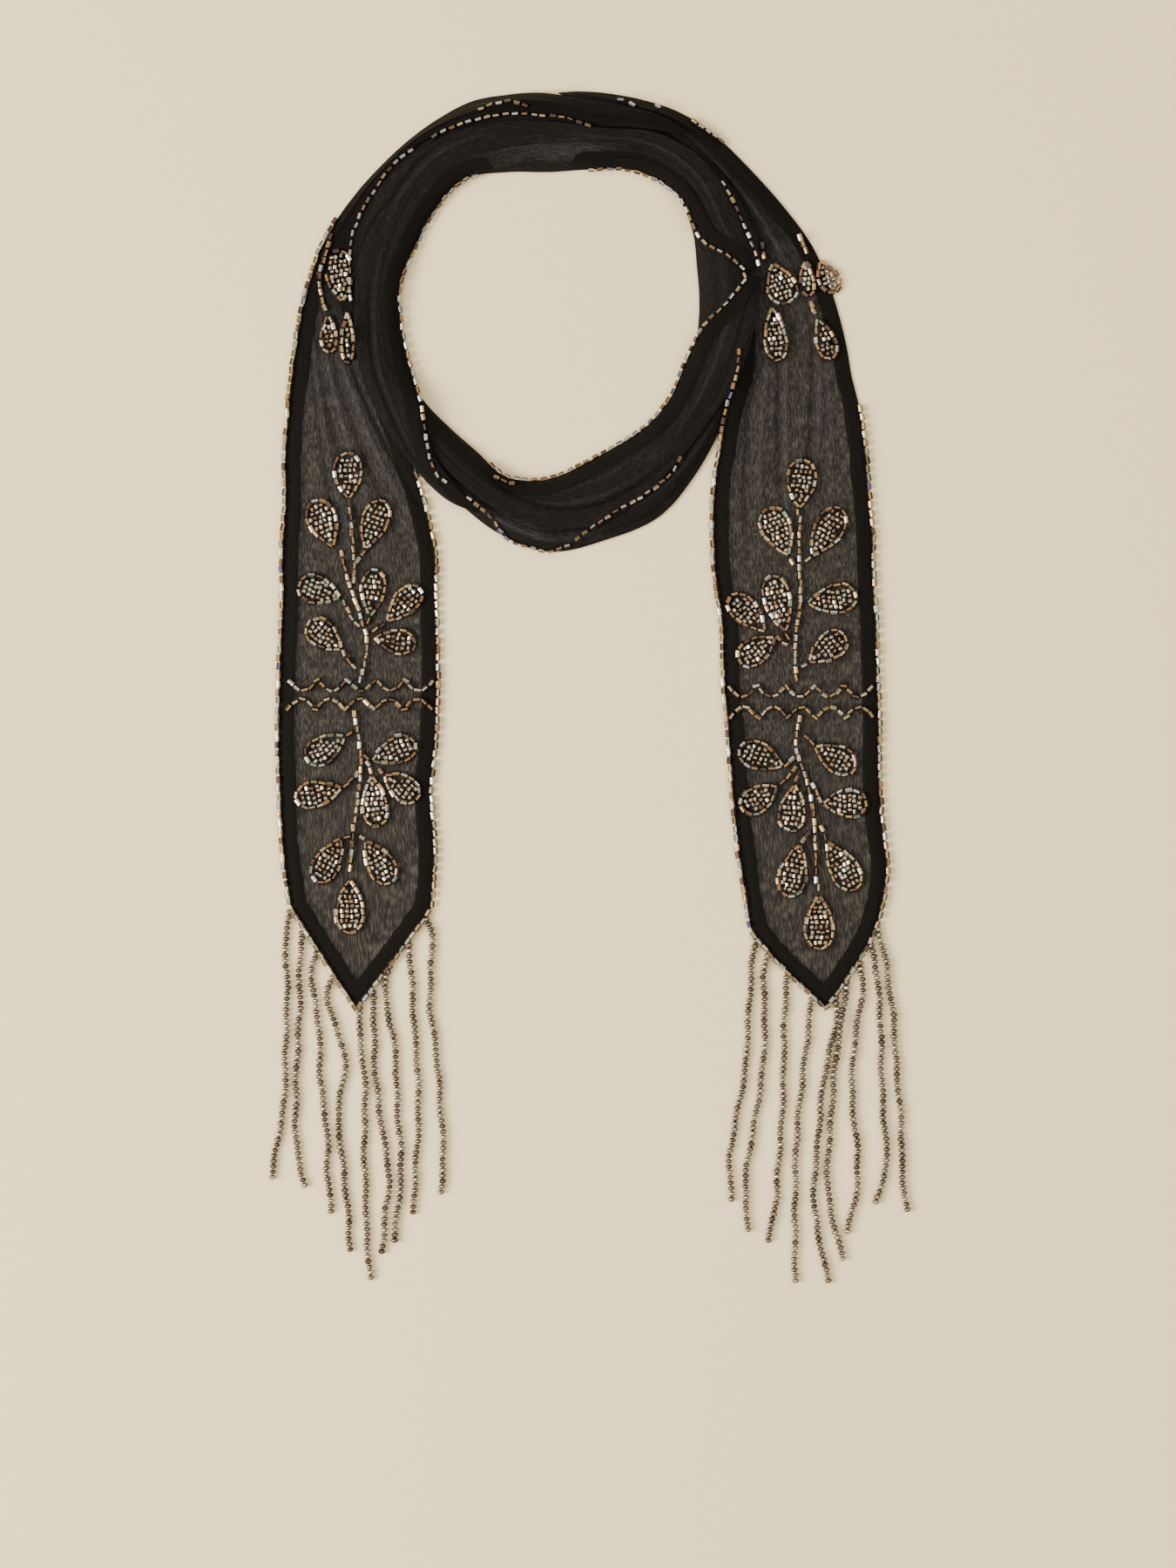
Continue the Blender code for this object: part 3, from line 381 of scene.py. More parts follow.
def patchOn(flat, patches):
    # soft oval places where the cloth lies single, and places where a fold catches the light, which
    # are painted lighter and more see-through in the same way, as a highlight
    most = np.zeros(len(flat))
    for x, y, halfLength, halfWidth, tilt, strength in patches:
        turn = math.radians(tilt)
        side = flat - np.array([x, y])
        forth = (side[:, 0] * math.cos(turn) + side[:, 1] * math.sin(turn)) / halfLength
        out = (side[:, 1] * math.cos(turn) - side[:, 0] * math.sin(turn)) / halfWidth
        slope = cloth["patchSlope"]
        share = np.clip(slope - slope * np.hypot(forth, out), 0.0, 1.0)
        most = np.maximum(most, strength * share)
    return most


def layCloth(name, node, stretch):
    outer, inner = edgesOf(stretch)
    length = lengthsAlong((outer + inner) / 2.0)[-1]
    stations = np.linspace(0.0, length, round(length / stretch["spacing"]) + 1)
    across = np.sin(np.linspace(-1.0, 1.0, stretch["columns"]) * cloth["crowding"])
    across /= across[-1]
    plan = planOf(stretch, stations, across)
    rows, columns = plan.shape[:2]
    flat = plan.reshape(-1, 2)
    own = treeOf(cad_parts[node])
    above = treeOf(*[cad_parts[other] for other in clothNodes if other != node])
    top = filled(raysOn(own, flat, np.full(len(flat), farOff), True).reshape(rows, columns))
    under = filled(raysOn(own, flat, np.full(len(flat), -farOff), False).reshape(rows, columns))
    roof = raysOn(above, flat, top.ravel() - cloth["roofStart"], False).reshape(rows, columns)
    roof = np.where(np.isnan(roof), top + cloth["openRoof"], roof)

    edges = {"outer": plan[:, 0], "inner": plan[:, -1], "tip": plan[0]}
    away = np.full(len(flat), cloth["unhemmed"])
    for edge, start, stop in stretch["hems"]:
        away = np.minimum(away, awayFromLine(flat, partOf(edges[edge], start, stop)))
    away = away.reshape(rows, columns)
    step = cloth["hemStep"]
    hem = np.clip((cloth["hemWidth"] + step / 2.0 - away) / step, 0.0, 1.0) * (away > step)

    folds = foldHeights(stretch["folds"], stations / length, across)
    low = under + cloth["wall"] + cloth["underGap"]
    high = np.maximum(np.minimum(top + cloth["stand"], roof - cloth["roofGap"]), low)
    height = blurred(top, cloth["smoothing"]) - cloth["sink"] + folds + cloth["hemRise"] * hem
    height = np.clip(blurred(np.clip(height, low, high), 1), low, high)

    single = np.interp(stations / length, *zip(*stretch["sheer"]))[:, None] * np.ones(columns)
    # patches raise the share of single cloth; where a patch is a fold's painted highlight, it is
    # carried the same way
    single = np.maximum(single.ravel(), patchOn(flat, stretch.get("patches", ())))
    points = np.concatenate([plan, height[:, :, None]], axis=2)
    piece, order = gridFor(name, points)
    mesh = piece.data
    widths = np.maximum(np.linalg.norm(plan[:, -1] - plan[:, 0], axis=1), stretch["gathered"])
    u = (across[None, :] * widths[:, None] / 2.0).ravel()[order] * mm
    v = (stations[:, None] * np.ones(columns)).ravel()[order] * mm
    corner = np.empty(len(mesh.loops), dtype=int)
    mesh.loops.foreach_get("vertex_index", corner)
    mesh.uv_layers[0].name = "cloth"
    mesh.uv_layers["cloth"].data.foreach_set("uv", np.column_stack([u[corner], v[corner]]).ravel())
    values = {"hemDistance": away.ravel() * mm, "sheer": single,
              "fold": np.clip(folds.ravel() / cloth["fullFold"], -1.0, 1.0)}
    for key, value in values.items():
        layer = mesh.attributes.new(key, "FLOAT", "POINT")
        layer.data.foreach_set("value", value[order].astype(np.float32))
    mesh.materials.append(chiffon)
    finishShell(piece, cloth["wall"])
    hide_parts(node)
    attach(piece, "root")
    clothPieces[name] = {"piece": piece, "plan": plan, "edges": edges, "across": across}
    print("laid", name, "length", round(length), "mm, faces", len(mesh.polygons))


def finishShell(piece, wall):
    bpy.ops.object.select_all(action="DESELECT")
    bpy.context.view_layer.objects.active = piece
    piece.select_set(True)
    solid = piece.modifiers.new("wall", "SOLIDIFY")
    solid.thickness = wall * mm
    solid.offset = -1.0
    bpy.ops.object.modifier_apply(modifier="wall")
    bpy.ops.object.shade_smooth_by_angle(angle=math.radians(cloth["sharpAngle"]))
    piece.select_set(False)


# The hidden plies of the ring, one on another, each a folded band of cloth with a round edge.
# They stop short of the sheer places, where only one layer lies over the table.
hiddenPlies = {
    "sections": [(0, 57, 76), (20, 60, 80), (40, 68, 86), (60, 70, 88), (72, 70.5, 86),
                 (80, 70.5, 85), (100, 70.5, 84), (110, 69, 84), (120, 64, 83.5), (140, 61, 84),
                 (160, 58, 80), (180, 56, 73), (200, 55, 69), (220, 55, 67), (240, 55, 68),
                 (260, 60, 71.5), (280, 56, 72), (300, 53, 75), (320, 53, 73), (340, 53, 70),
                 (360, 57, 76)],
    "levels": [0.1, 1.2, 2.2, 3.1],
    "inset": [0.3, 1.0, 2.0, 3.4],
    "ply": 0.9,
    "stations": 240,
    "around": 12,
    "wave": 0.5,           # how far a ply runs in and out
    "waves": 5,            # times it does so round the ring, and once more for each ply above
    "waveShift": 1.3,
    "blunt": (0.25, 0.8),  # how square a section is across and in height: 1 is round
}
plyLook = {
    "shader": {"Roughness": 0.85, "Specular IOR Level": 0.06, "Sheen Weight": 0.02,
               "Sheen Roughness": 0.5},
    "dark": (0.0040, 0.0034, 0.0028, 1.0),
    "light": (0.0090, 0.0078, 0.0066, 1.0),
    "grain": (900.0, 900.0, 900.0),
    "soft": (60.0, 60.0, 60.0),
    "grainShare": 0.6,
    "bump": (0.5, 0.0004),
}


def plyFinish():
    look = plyLook
    finish = Finish("hiddenChiffon", look["shader"])
    place = finish.place()
    grain = finish.noise(place, look["grain"], 3.0, 0.6)
    soft = finish.noise(place, look["soft"])
    share = (grain * look["grainShare"] + soft * (1.0 - look["grainShare"])).clamp(0.0, 1.0)
    tone = finish.between(share, look["dark"], look["light"])
    return finish.set(Base_Color=tone, Normal=finish.bump(grain, *look["bump"]))


def plyAt(number):
    # a ring primitive, its section flattened to a ply and its run laid along the hidden layers
    setting = hiddenPlies
    tube = 0.25
    bpy.ops.object.select_all(action="DESELECT")
    bpy.ops.mesh.primitive_torus_add(major_segments=setting["stations"],
                                     minor_segments=setting["around"],
                                     major_radius=1.0, minor_radius=tube)
    ply = bpy.context.object
    rows = smoothRows(setting["sections"], 8)
    spot = np.empty(len(ply.data.vertices) * 3)
    ply.data.vertices.foreach_get("co", spot)
    spot = spot.reshape(-1, 3)
    angles = np.degrees(np.arctan2(spot[:, 1], spot[:, 0])) % 360.0
    out = (np.hypot(spot[:, 0], spot[:, 1]) - 1.0) / tube
    rise = spot[:, 2] / tube
    turns = np.radians(angles * (setting["waves"] + number)) + setting["waveShift"] * number
    wave = setting["wave"] * np.sin(turns)
    inner = np.interp(angles, rows[:, 0], rows[:, 1]) + setting["inset"][number] + wave
    outer = np.interp(angles, rows[:, 0], rows[:, 2]) - setting["inset"][number] + wave
    half = setting["ply"] / 2.0
    side = np.sign(out) * np.abs(out) ** setting["blunt"][0]
    radius = (inner + outer) / 2.0 + side * (outer - inner) / 2.0
    lift = half * np.sign(rise) * np.abs(rise) ** setting["blunt"][1]
    height = setting["levels"][number] + half + lift
    place = ringPlace(angles, radius)
    laid = np.column_stack([place, height]) * mm
    ply.data.vertices.foreach_set("co", laid.ravel())
    ply.data.update()
    return ply


def layPlies():
    plies = [plyAt(number) for number in range(len(hiddenPlies["levels"]))]
    bpy.ops.object.select_all(action="DESELECT")
    for ply in plies:
        ply.select_set(True)
    bpy.context.view_layer.objects.active = plies[0]
    bpy.ops.object.join()
    piece = bpy.context.object
    piece.name = "hiddenPlies"
    piece.data.name = "hiddenPlies"
    bpy.ops.object.mode_set(mode="EDIT")
    bpy.ops.mesh.select_all(action="SELECT")
    bpy.ops.mesh.normals_make_consistent(inside=False)
    bpy.ops.object.mode_set(mode="OBJECT")
    bpy.ops.object.shade_smooth()
    piece.data.materials.append(plyFinish())
    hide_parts("ring_core")
    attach(piece, "root")
    print("hidden plies laid", len(piece.data.polygons))


# The stretches of cloth. Turns: angle round the ring, inner and outer radius. Ends: outer x and y,
# inner x and y. Hems: the edge, and the places between which it is hemmed. Folds: start and end
# along, place across at both, height (below 0 a crease), half width. Sheer: share along the stretch
# and how much of it is single cloth. Patches: x, y, half length, half width, tilt, strength.
# Gathered: the least width that the crinkle is spread over. Tip: how far the point reaches past the
# first row, roundness its shape, and blend the length over which the rows bend to it.
turnBase = {
    "kind": "turn",
    "columns": 37,
    "spacing": 1.1,
    "gathered": 36.0,
    "hems": [],
    "sheer": [(0.0, 0.0), (1.0, 0.0)],
}
endBase = {
    "kind": "end",
    "columns": 61,
    "spacing": 1.3,
    "gathered": 57.0,
    "blend": 48.0,
}
upperTurn = turnBase | {
    "gathered": 34.0,
    "edges": [(250, 72.9, 73.4), (240, 68.0, 74.0), (225, 62.0, 71.5), (210, 54.5, 70.5),
              (195, 53.0, 71.0), (180, 54.0, 71.0), (165, 56.5, 73.0), (150, 57.0, 77.6),
              (135, 59.5, 79.4), (120, 62.0, 78.9), (105, 58.5, 76.7), (90, 56.5, 74.5),
              (75, 59.5, 74.5), (60, 65.5, 80.5), (45, 67.0, 82.5), (30, 64.0, 80.0),
              (20, 71.0, 79.5), (15, 75.0, 79.5)],
    "hems": [("inner", None, (-40.8, 188.5)), ("inner", (-1.1, 190.1), None)],
    "folds": [(0.36, 0.46, -0.96, -0.42, -0.8, 0.10), (0.43, 0.55, -0.42, -0.86, -0.8, 0.10),
              (0.40, 0.60, -0.15, -0.60, 0.5, 0.14), (0.06, 0.34, -0.62, -0.30, -0.7, 0.10),
              (0.10, 0.40, -0.35, 0.00, 0.5, 0.12), (0.20, 0.52, 0.30, 0.05, -0.5, 0.08),
              (0.50, 0.72, 0.55, -0.30, 0.5, 0.10), (0.55, 0.80, 0.20, -0.55, -0.6, 0.09),
              (0.68, 0.97, -0.62, -0.10, 0.6, 0.14), (0.74, 1.00, 0.45, 0.10, -0.7, 0.10),
              (0.70, 0.98, -0.20, 0.05, -0.5, 0.08)],
    "patches": [(-9.0, 196.3, 25.0, 4.6, 2.0, 0.92), (-30.0, 193.4, 17.0, 3.0, 12.0, 0.55)],
}
lowerTurn = turnBase | {
    "edges": [(13, 74.5, 79.5), (0, 57.5, 75.5), (-15, 52.0, 72.0), (-30, 51.8, 68.5),
              (-45, 51.4, 68.5), (-60, 50.5, 71.5), (-75, 52.0, 75.0), (-90, 56.0, 74.5),
              (-105, 57.5, 70.5), (-120, 53.0, 66.0), (-135, 52.0, 63.5), (-150, 53.5, 61.5)],
    "hems": [("inner", None, None)],
    "folds": [(0.36, 0.70, -0.80, -0.12, -0.9, 0.09), (0.40, 0.72, -0.48, 0.12, 0.5, 0.12),
              (0.62, 0.80, -0.24, 0.52, -0.8, 0.10), (0.00, 0.30, -0.30, -0.70, -0.6, 0.09),
              (0.02, 0.36, 0.20, -0.20, 0.5, 0.12), (0.10, 0.44, 0.42, 0.15, -0.5, 0.08),
              (0.30, 0.62, 0.10, 0.40, 0.4, 0.09), (0.72, 0.98, -0.30, -0.45, -0.5, 0.12)],
    "patches": [(23.0, 84.6, 11.0, 3.0, 33.0, 0.22)],
}
outerTurn = turnBase | {
    "columns": 31,
    "edges": [(-15, 64.0, 75.0), (-30, 62.0, 73.5), (-45, 61.0, 76.5), (-60, 61.5, 80.8),
              (-75, 64.0, 81.2), (-90, 67.5, 82.8), (-103, 66.0, 78.5), (-115, 62.5, 73.5),
              (-128, 60.0, 69.5)],
    "folds": [(0.50, 0.95, -0.60, -0.10, 0.5, 0.16), (0.46, 0.90, -0.30, 0.20, -0.6, 0.12),
              (0.05, 0.45, -0.50, -0.20, 0.5, 0.15), (0.15, 0.60, -0.72, -0.66, -0.5, 0.10)],
    "patches": [(-26.5, 59.4, 17.0, 3.4, -22.0, 0.95), (-4.0, 55.0, 12.0, 2.6, 2.0, 0.35)],
}
underTurn = turnBase | {
    "columns": 25,
    "spacing": 1.2,
    "edges": [(46, 67.5, 79.0), (33, 63.0, 77.0), (20, 58.0, 76.0), (0, 54.8, 74.0),
              (-12, 55.5, 70.0)],
    "folds": [(0.0, 1.0, -0.3, 0.2, 0.3, 0.3)],
}
leftEnd = endBase | {
    "edges": [(-110.0, -80.0, -58.5, -81.0), (-113.0, -59.0, -57.0, -59.0),
              (-114.0, -37.5, -58.5, -37.5), (-114.5, -16.0, -56.5, -16.0),
              (-114.0, 9.0, -56.0, 9.0), (-113.0, 31.0, -56.5, 30.0),
              (-113.0, 51.0, -57.0, 50.0), (-112.0, 67.0, -60.5, 66.0),
              (-112.0, 84.0, -64.5, 79.5), (-111.0, 100.0, -69.0, 92.5),
              (-109.5, 115.0, -74.5, 108.5), (-107.5, 129.5, -80.0, 124.5),
              (-105.0, 142.0, -86.0, 140.5), (-102.0, 152.5, -88.5, 152.0),
              (-98.0, 163.0, -87.5, 163.0), (-91.5, 174.0, -83.5, 173.0),
              (-82.5, 185.5, -76.0, 186.0), (-69.5, 198.5, -65.0, 197.5),
              (-57.0, 208.0, -53.5, 203.5), (-44.0, 215.0, -43.0, 206.5),
              (-31.0, 217.5, -30.0, 209.5), (-18.5, 218.0, -18.5, 209.0),
              (-7.0, 216.0, -9.0, 208.0), (4.0, 214.0, 2.5, 205.0), (15.0, 212.0, 13.5, 205.0),
              (26.5, 208.5, 25.0, 203.5), (36.0, 202.6, 35.0, 201.6)],
    "tip": (-1.6, -37.2),
    "roundness": 0.96,
    "hems": [("tip", None, None), ("outer", None, (-91.7, 172.5)), ("inner", None, None)],
    "folds": [(0.36, 0.56, 0.98, 0.05, -1.0, 0.08), (0.34, 0.56, 0.84, -0.12, 0.9, 0.07),
              (0.31, 0.55, 0.66, -0.26, -0.6, 0.06), (0.29, 0.56, 0.48, -0.40, 0.8, 0.07),
              (0.28, 0.54, 0.26, -0.54, -0.5, 0.06), (0.27, 0.56, 0.06, -0.66, 0.6, 0.07),
              (0.30, 0.58, -0.20, -0.74, -0.4, 0.06), (0.02, 0.30, 0.30, 0.22, 0.25, 0.10),
              (0.04, 0.34, -0.20, -0.12, 0.25, 0.10), (0.58, 0.82, -0.50, 0.10, 0.6, 0.22),
              (0.60, 0.86, 0.00, 0.50, -0.6, 0.20), (0.76, 0.98, -0.40, -0.10, 0.6, 0.22),
              (0.80, 1.00, 0.20, 0.10, -0.5, 0.20)],
    "sheer": [(0.0, 1.0), (0.46, 1.0), (0.53, 0.80), (0.58, 0.30), (0.62, 0.08), (0.66, 0.0),
              (1.0, 0.0)],
    # this patch is no single cloth but a painted highlight on a fold that catches the light
    "patches": [(-86.9, 173.1, 8.0, 2.4, 62.0, 0.5)],
}
rightEnd = endBase | {
    "edges": [(106.0, -85.0, 59.0, -88.5), (109.0, -67.5, 55.5, -68.0), (107.0, -49.0, 53.0, -48.5),
              (106.0, -30.0, 51.5, -29.0), (106.0, -14.0, 50.5, -13.0), (105.5, 3.0, 49.0, 3.0),
              (105.0, 22.5, 48.5, 22.0), (104.0, 40.0, 46.0, 40.0), (103.5, 57.5, 45.0, 57.5),
              (102.0, 73.5, 45.5, 73.5), (101.0, 88.0, 47.5, 87.5), (99.0, 102.0, 50.0, 102.0),
              (96.0, 114.5, 54.0, 115.0), (94.0, 126.0, 54.5, 127.0), (91.0, 138.0, 54.0, 141.0),
              (87.0, 150.0, 52.5, 155.0), (81.0, 163.0, 50.0, 169.0), (71.0, 176.5, 46.0, 182.0),
              (58.5, 190.5, 39.0, 193.0), (45.5, 203.0, 31.0, 201.0), (33.0, 211.0, 21.5, 206.0),
              (20.0, 215.5, 11.0, 208.5), (7.0, 218.0, 3.0, 211.0), (-3.0, 218.8, -5.0, 214.6),
              (-11.0, 218.4, -11.6, 217.6)],
    "tip": (4.0, -30.6),
    "roundness": 0.82,
    "hems": [("tip", None, None), ("outer", None, None), ("inner", None, (52.5, 155.0))],
    "folds": [(0.40, 0.68, 0.02, 0.22, 0.9, 0.06), (0.42, 0.66, 0.14, 0.36, -0.6, 0.06),
              (0.38, 0.66, 0.36, 0.54, 0.8, 0.06), (0.44, 0.70, -0.26, -0.62, 0.9, 0.06),
              (0.42, 0.66, -0.12, -0.40, -0.6, 0.06), (0.36, 0.60, -0.46, -0.60, 0.5, 0.07),
              (0.36, 0.62, 0.58, 0.70, -0.5, 0.06), (0.03, 0.30, 0.25, 0.30, 0.25, 0.10),
              (0.05, 0.34, -0.30, -0.20, 0.25, 0.10), (0.66, 0.84, -0.30, 0.40, 0.7, 0.16),
              (0.68, 0.90, 0.20, 0.55, -0.7, 0.14), (0.70, 0.94, -0.60, -0.20, 0.6, 0.16),
              (0.84, 1.00, 0.10, -0.20, -0.5, 0.20)],
    "sheer": [(0.0, 1.0), (0.64, 1.0), (0.70, 0.70), (0.76, 0.25), (0.81, 0.0), (1.0, 0.0)],
}

layPlies()
layCloth("underTurn", "under_turn", underTurn)
layCloth("outerTurn", "outer_turn", outerTurn)
layCloth("rightEnd", "right_end", rightEnd)
layCloth("leftEnd", "left_end", leftEnd)
layCloth("lowerTurn", "lower_turn", lowerTurn)
layCloth("upperTurn", "upper_turn", upperTurn)
print("cloth laid")


# Beads: modelled once each, then copied along lines and into leaves
edgeBead = {"length": 2.55, "radius": 0.94, "sides": 8, "pitch": 3.2}
ringBead = {"length": 2.3, "radius": 0.76, "sides": 8, "pitch": 3.4}
leafBead = {"length": 2.5, "radius": 0.94, "sides": 8, "pitch": 2.95}
fillBead = {"length": 1.4, "radius": 0.83, "sides": 8, "along": 1.84, "aside": 1.8}
seedBead = {"length": 2.0, "radius": 1.36, "pitch": 2.0}
# A tube's ends: the bevel, the width of the rim as a share of the radius, and how far the floors of
# the hole are drawn in
tubeEnds = {"bevel": 0.09, "rim": 0.3, "drawn": 0.72}
# How dark a bead gets: towards its ends, in its hole, and towards its underside
beadShade = {
    "endsFrom": 0.62,      # share of the half length where the shade of the ends starts
    "ends": 0.55,
    "hole": 0.06,
    "holeReach": 0.75,     # share of the radius
    "middle": 0.30,
    "slope": 0.9,
    "under": 0.07,
    "sharpAngle": 42.0,
}

# Linings and lustres of the glass, and how often each is met
cutTones = {
    "creamGold": ((0.84, 0.64, 0.38), 25),
    "paleSilver": ((0.88, 0.80, 0.67), 14),
    "gold": ((0.62, 0.38, 0.15), 22),
    "bronze": ((0.40, 0.21, 0.09), 19),
    "brown": ((0.18, 0.09, 0.05), 9),
    "greyGreen": ((0.42, 0.43, 0.28), 5),
    "rose": ((0.54, 0.27, 0.20), 3),
    "violet": ((0.24, 0.14, 0.32), 2),
    "slate": ((0.36, 0.40, 0.44), 1),
}
leafTones = {
    "creamGold": ((0.80, 0.60, 0.34), 22),
    "paleSilver": ((0.86, 0.78, 0.64), 12),
    "gold": ((0.60, 0.36, 0.14), 24),
    "bronze": ((0.38, 0.20, 0.09), 24),
    "brown": ((0.16, 0.08, 0.045), 12),
    "greyGreen": ((0.40, 0.42, 0.28), 6),
}
ringTones = {
    "silver": ((0.74, 0.68, 0.58), 30),
    "creamGold": ((0.72, 0.54, 0.32), 20),
    "bronze": ((0.40, 0.22, 0.10), 26),
    "brown": ((0.16, 0.09, 0.05), 16),
    "slate": ((0.26, 0.28, 0.38), 8),
}
fillTones = {
    "cream": ((0.90, 0.76, 0.53), 40),
    "rosySilver": ((0.86, 0.68, 0.50), 24),
    "gold": ((0.66, 0.44, 0.23), 22),
    "bronze": ((0.36, 0.21, 0.11), 14),
}
seedTones = {
    "taupe": ((0.32, 0.225, 0.138), 50),
    "cream": ((0.64, 0.51, 0.34), 28),
    "brown": ((0.17, 0.105, 0.06), 22),
}
shadeRange = (0.75, 1.15)
chance = random.Random(7)


def jitter(most):
    return chance.uniform(-most, most)


def pickTone(tones):
    names = list(tones)
    name = chance.choices(names, [tones[key][1] for key in names])[0]
    shade = chance.uniform(*shadeRange)
    return tuple(min(value * shade, 1.0) for value in tones[name][0])


def modelTube(name, setting):
    length, radius = setting["length"], setting["radius"]
    bpy.ops.object.select_all(action="DESELECT")
    bpy.ops.mesh.primitive_cylinder_add(vertices=setting["sides"], radius=radius * mm,
                                        depth=length * mm)
    tube = bpy.context.object
    tube.name = name
    bpy.ops.object.mode_set(mode="EDIT")
    bpy.ops.mesh.select_mode(type="FACE")
    bpy.ops.mesh.select_all(action="DESELECT")
    edit = bmesh.from_edit_mesh(tube.data)
    for face in edit.faces:
        face.select = abs(face.normal.z) > 0.9
    bmesh.update_edit_mesh(tube.data)
    bpy.ops.mesh.bevel(offset=tubeEnds["bevel"] * mm, segments=1)
    bpy.ops.mesh.select_all(action="DESELECT")
    edit = bmesh.from_edit_mesh(tube.data)
    for face in edit.faces:
        face.select = abs(face.normal.z) > 0.99
    bmesh.update_edit_mesh(tube.data)
    bpy.ops.mesh.inset(thickness=radius * tubeEnds["rim"] * mm)
    bpy.ops.transform.resize(value=(1.0, 1.0, tubeEnds["drawn"]))
    bpy.ops.object.mode_set(mode="OBJECT")
    return asTemplate(tube, length)


def modelSeed(name, setting):
    length, radius = setting["length"], setting["radius"]
    bpy.ops.object.select_all(action="DESELECT")
    bpy.ops.mesh.primitive_uv_sphere_add(segments=8, ring_count=6, radius=radius * mm)
    seed = bpy.context.object
    seed.name = name
    bpy.ops.object.mode_set(mode="EDIT")
    bpy.ops.mesh.select_all(action="SELECT")
    bpy.ops.transform.resize(value=(1.0, 1.0, length / 2.0 / radius))
    bpy.ops.object.mode_set(mode="OBJECT")
    return asTemplate(seed, length)


def asTemplate(thing, length):
    points = np.array([vert.co[:] for vert in thing.data.vertices])
    faces = [tuple(face.vertices) for face in thing.data.polygons]
    # the ends of a bead are in the shade of its neighbours and of the thread, and its hole in deep
    # shade: both are painted darker
    endsFrom = beadShade["endsFrom"]
    along = np.abs(points[:, 2]) / (length * mm / 2.0)
    ends = np.clip((along - endsFrom) / (1.0 - endsFrom), 0.0, 1.0)
    away = np.hypot(points[:, 0], points[:, 1])
    hole = away < beadShade["holeReach"] * away.max()
    shade = np.where(hole & (ends > 0.0), beadShade["hole"], 1.0 - beadShade["ends"] * ends)
    bpy.data.objects.remove(thing)
    return {"points": points, "faces": faces, "shade": shade, "reach": away.max()}


tubes = {"edge": edgeBead, "ring": ringBead, "leaf": leafBead, "fill": fillBead}
templates = {kind: modelTube(kind + "Bead", setting) for kind, setting in tubes.items()}
templates["seed"] = modelSeed("seedBead", seedBead)
print("beads modelled")

glassLook = {
    "shader": {"Coat Weight": 0.35, "Coat Roughness": 0.06, "Specular IOR Level": 0.6},
    "cloud": (1500.0, 1500.0, 1500.0),
    "clouded": (0.05, 0.04, 0.035, 1.0),
    "cloudShares": (0.8, 0.15, 0.6),    # strength, what is taken off it, and the most that is left
    "rougher": 0.22,                    # what the cloud adds to the roughness
    "bump": (0.35, 0.0002),
}


def glassFinish(name, roughness, lining):
    # lining is how much of the bead's lustre comes from its metallic lining
    look = glassLook
    finish = Finish(name, look["shader"] | {"Metallic": lining})
    cloudy = finish.noise(finish.place(), look["cloud"])
    # the tint attribute holds each bead's own colour with its painted shade at the ends, in the hole
    # and towards the underside
    tint = finish.attribute("tint", out=0)
    strength, less, most = look["cloudShares"]
    tone = finish.between((cloudy * strength - less).clamp(0.0, most), tint, look["clouded"])
    rough = (cloudy * look["rougher"] + roughness).clamp(0.05, 0.8)
    return finish.set(Base_Color=tone, Roughness=rough, Normal=finish.bump(cloudy, *look["bump"]))


cutGlass = glassFinish("cutGlass", 0.10, 0.95)
seedGlass = glassFinish("seedGlass", 0.18, 0.82)
clothTree = treeOf(*[item["piece"] for item in clothPieces.values()])


def clothHeight(x, y, reach=0.0):
    # the highest cloth at a place, or within a bead's reach of it
    best = 0.0
    spots = [(0.0, 0.0)]
    if reach:
        spots += [(reach, 0.0), (-reach, 0.0), (0.0, reach), (0.0, -reach)]
    for shiftX, shiftY in spots:
        start = Vector(((x + shiftX) * mm, (y + shiftY) * mm, farOff * mm))
        hit = clothTree.ray_cast(start, Vector((0.0, 0.0, -1.0)))[0]
        if hit is not None:
            best = max(best, hit.z / mm)
    return best


def bead(template, x, y, z, heading, tones, tip=0.0, scale=1.0):
    return {"template": template, "place": (x, y, z), "heading": heading, "tip": tip,
            "scale": scale, "tone": pickTone(tones)}


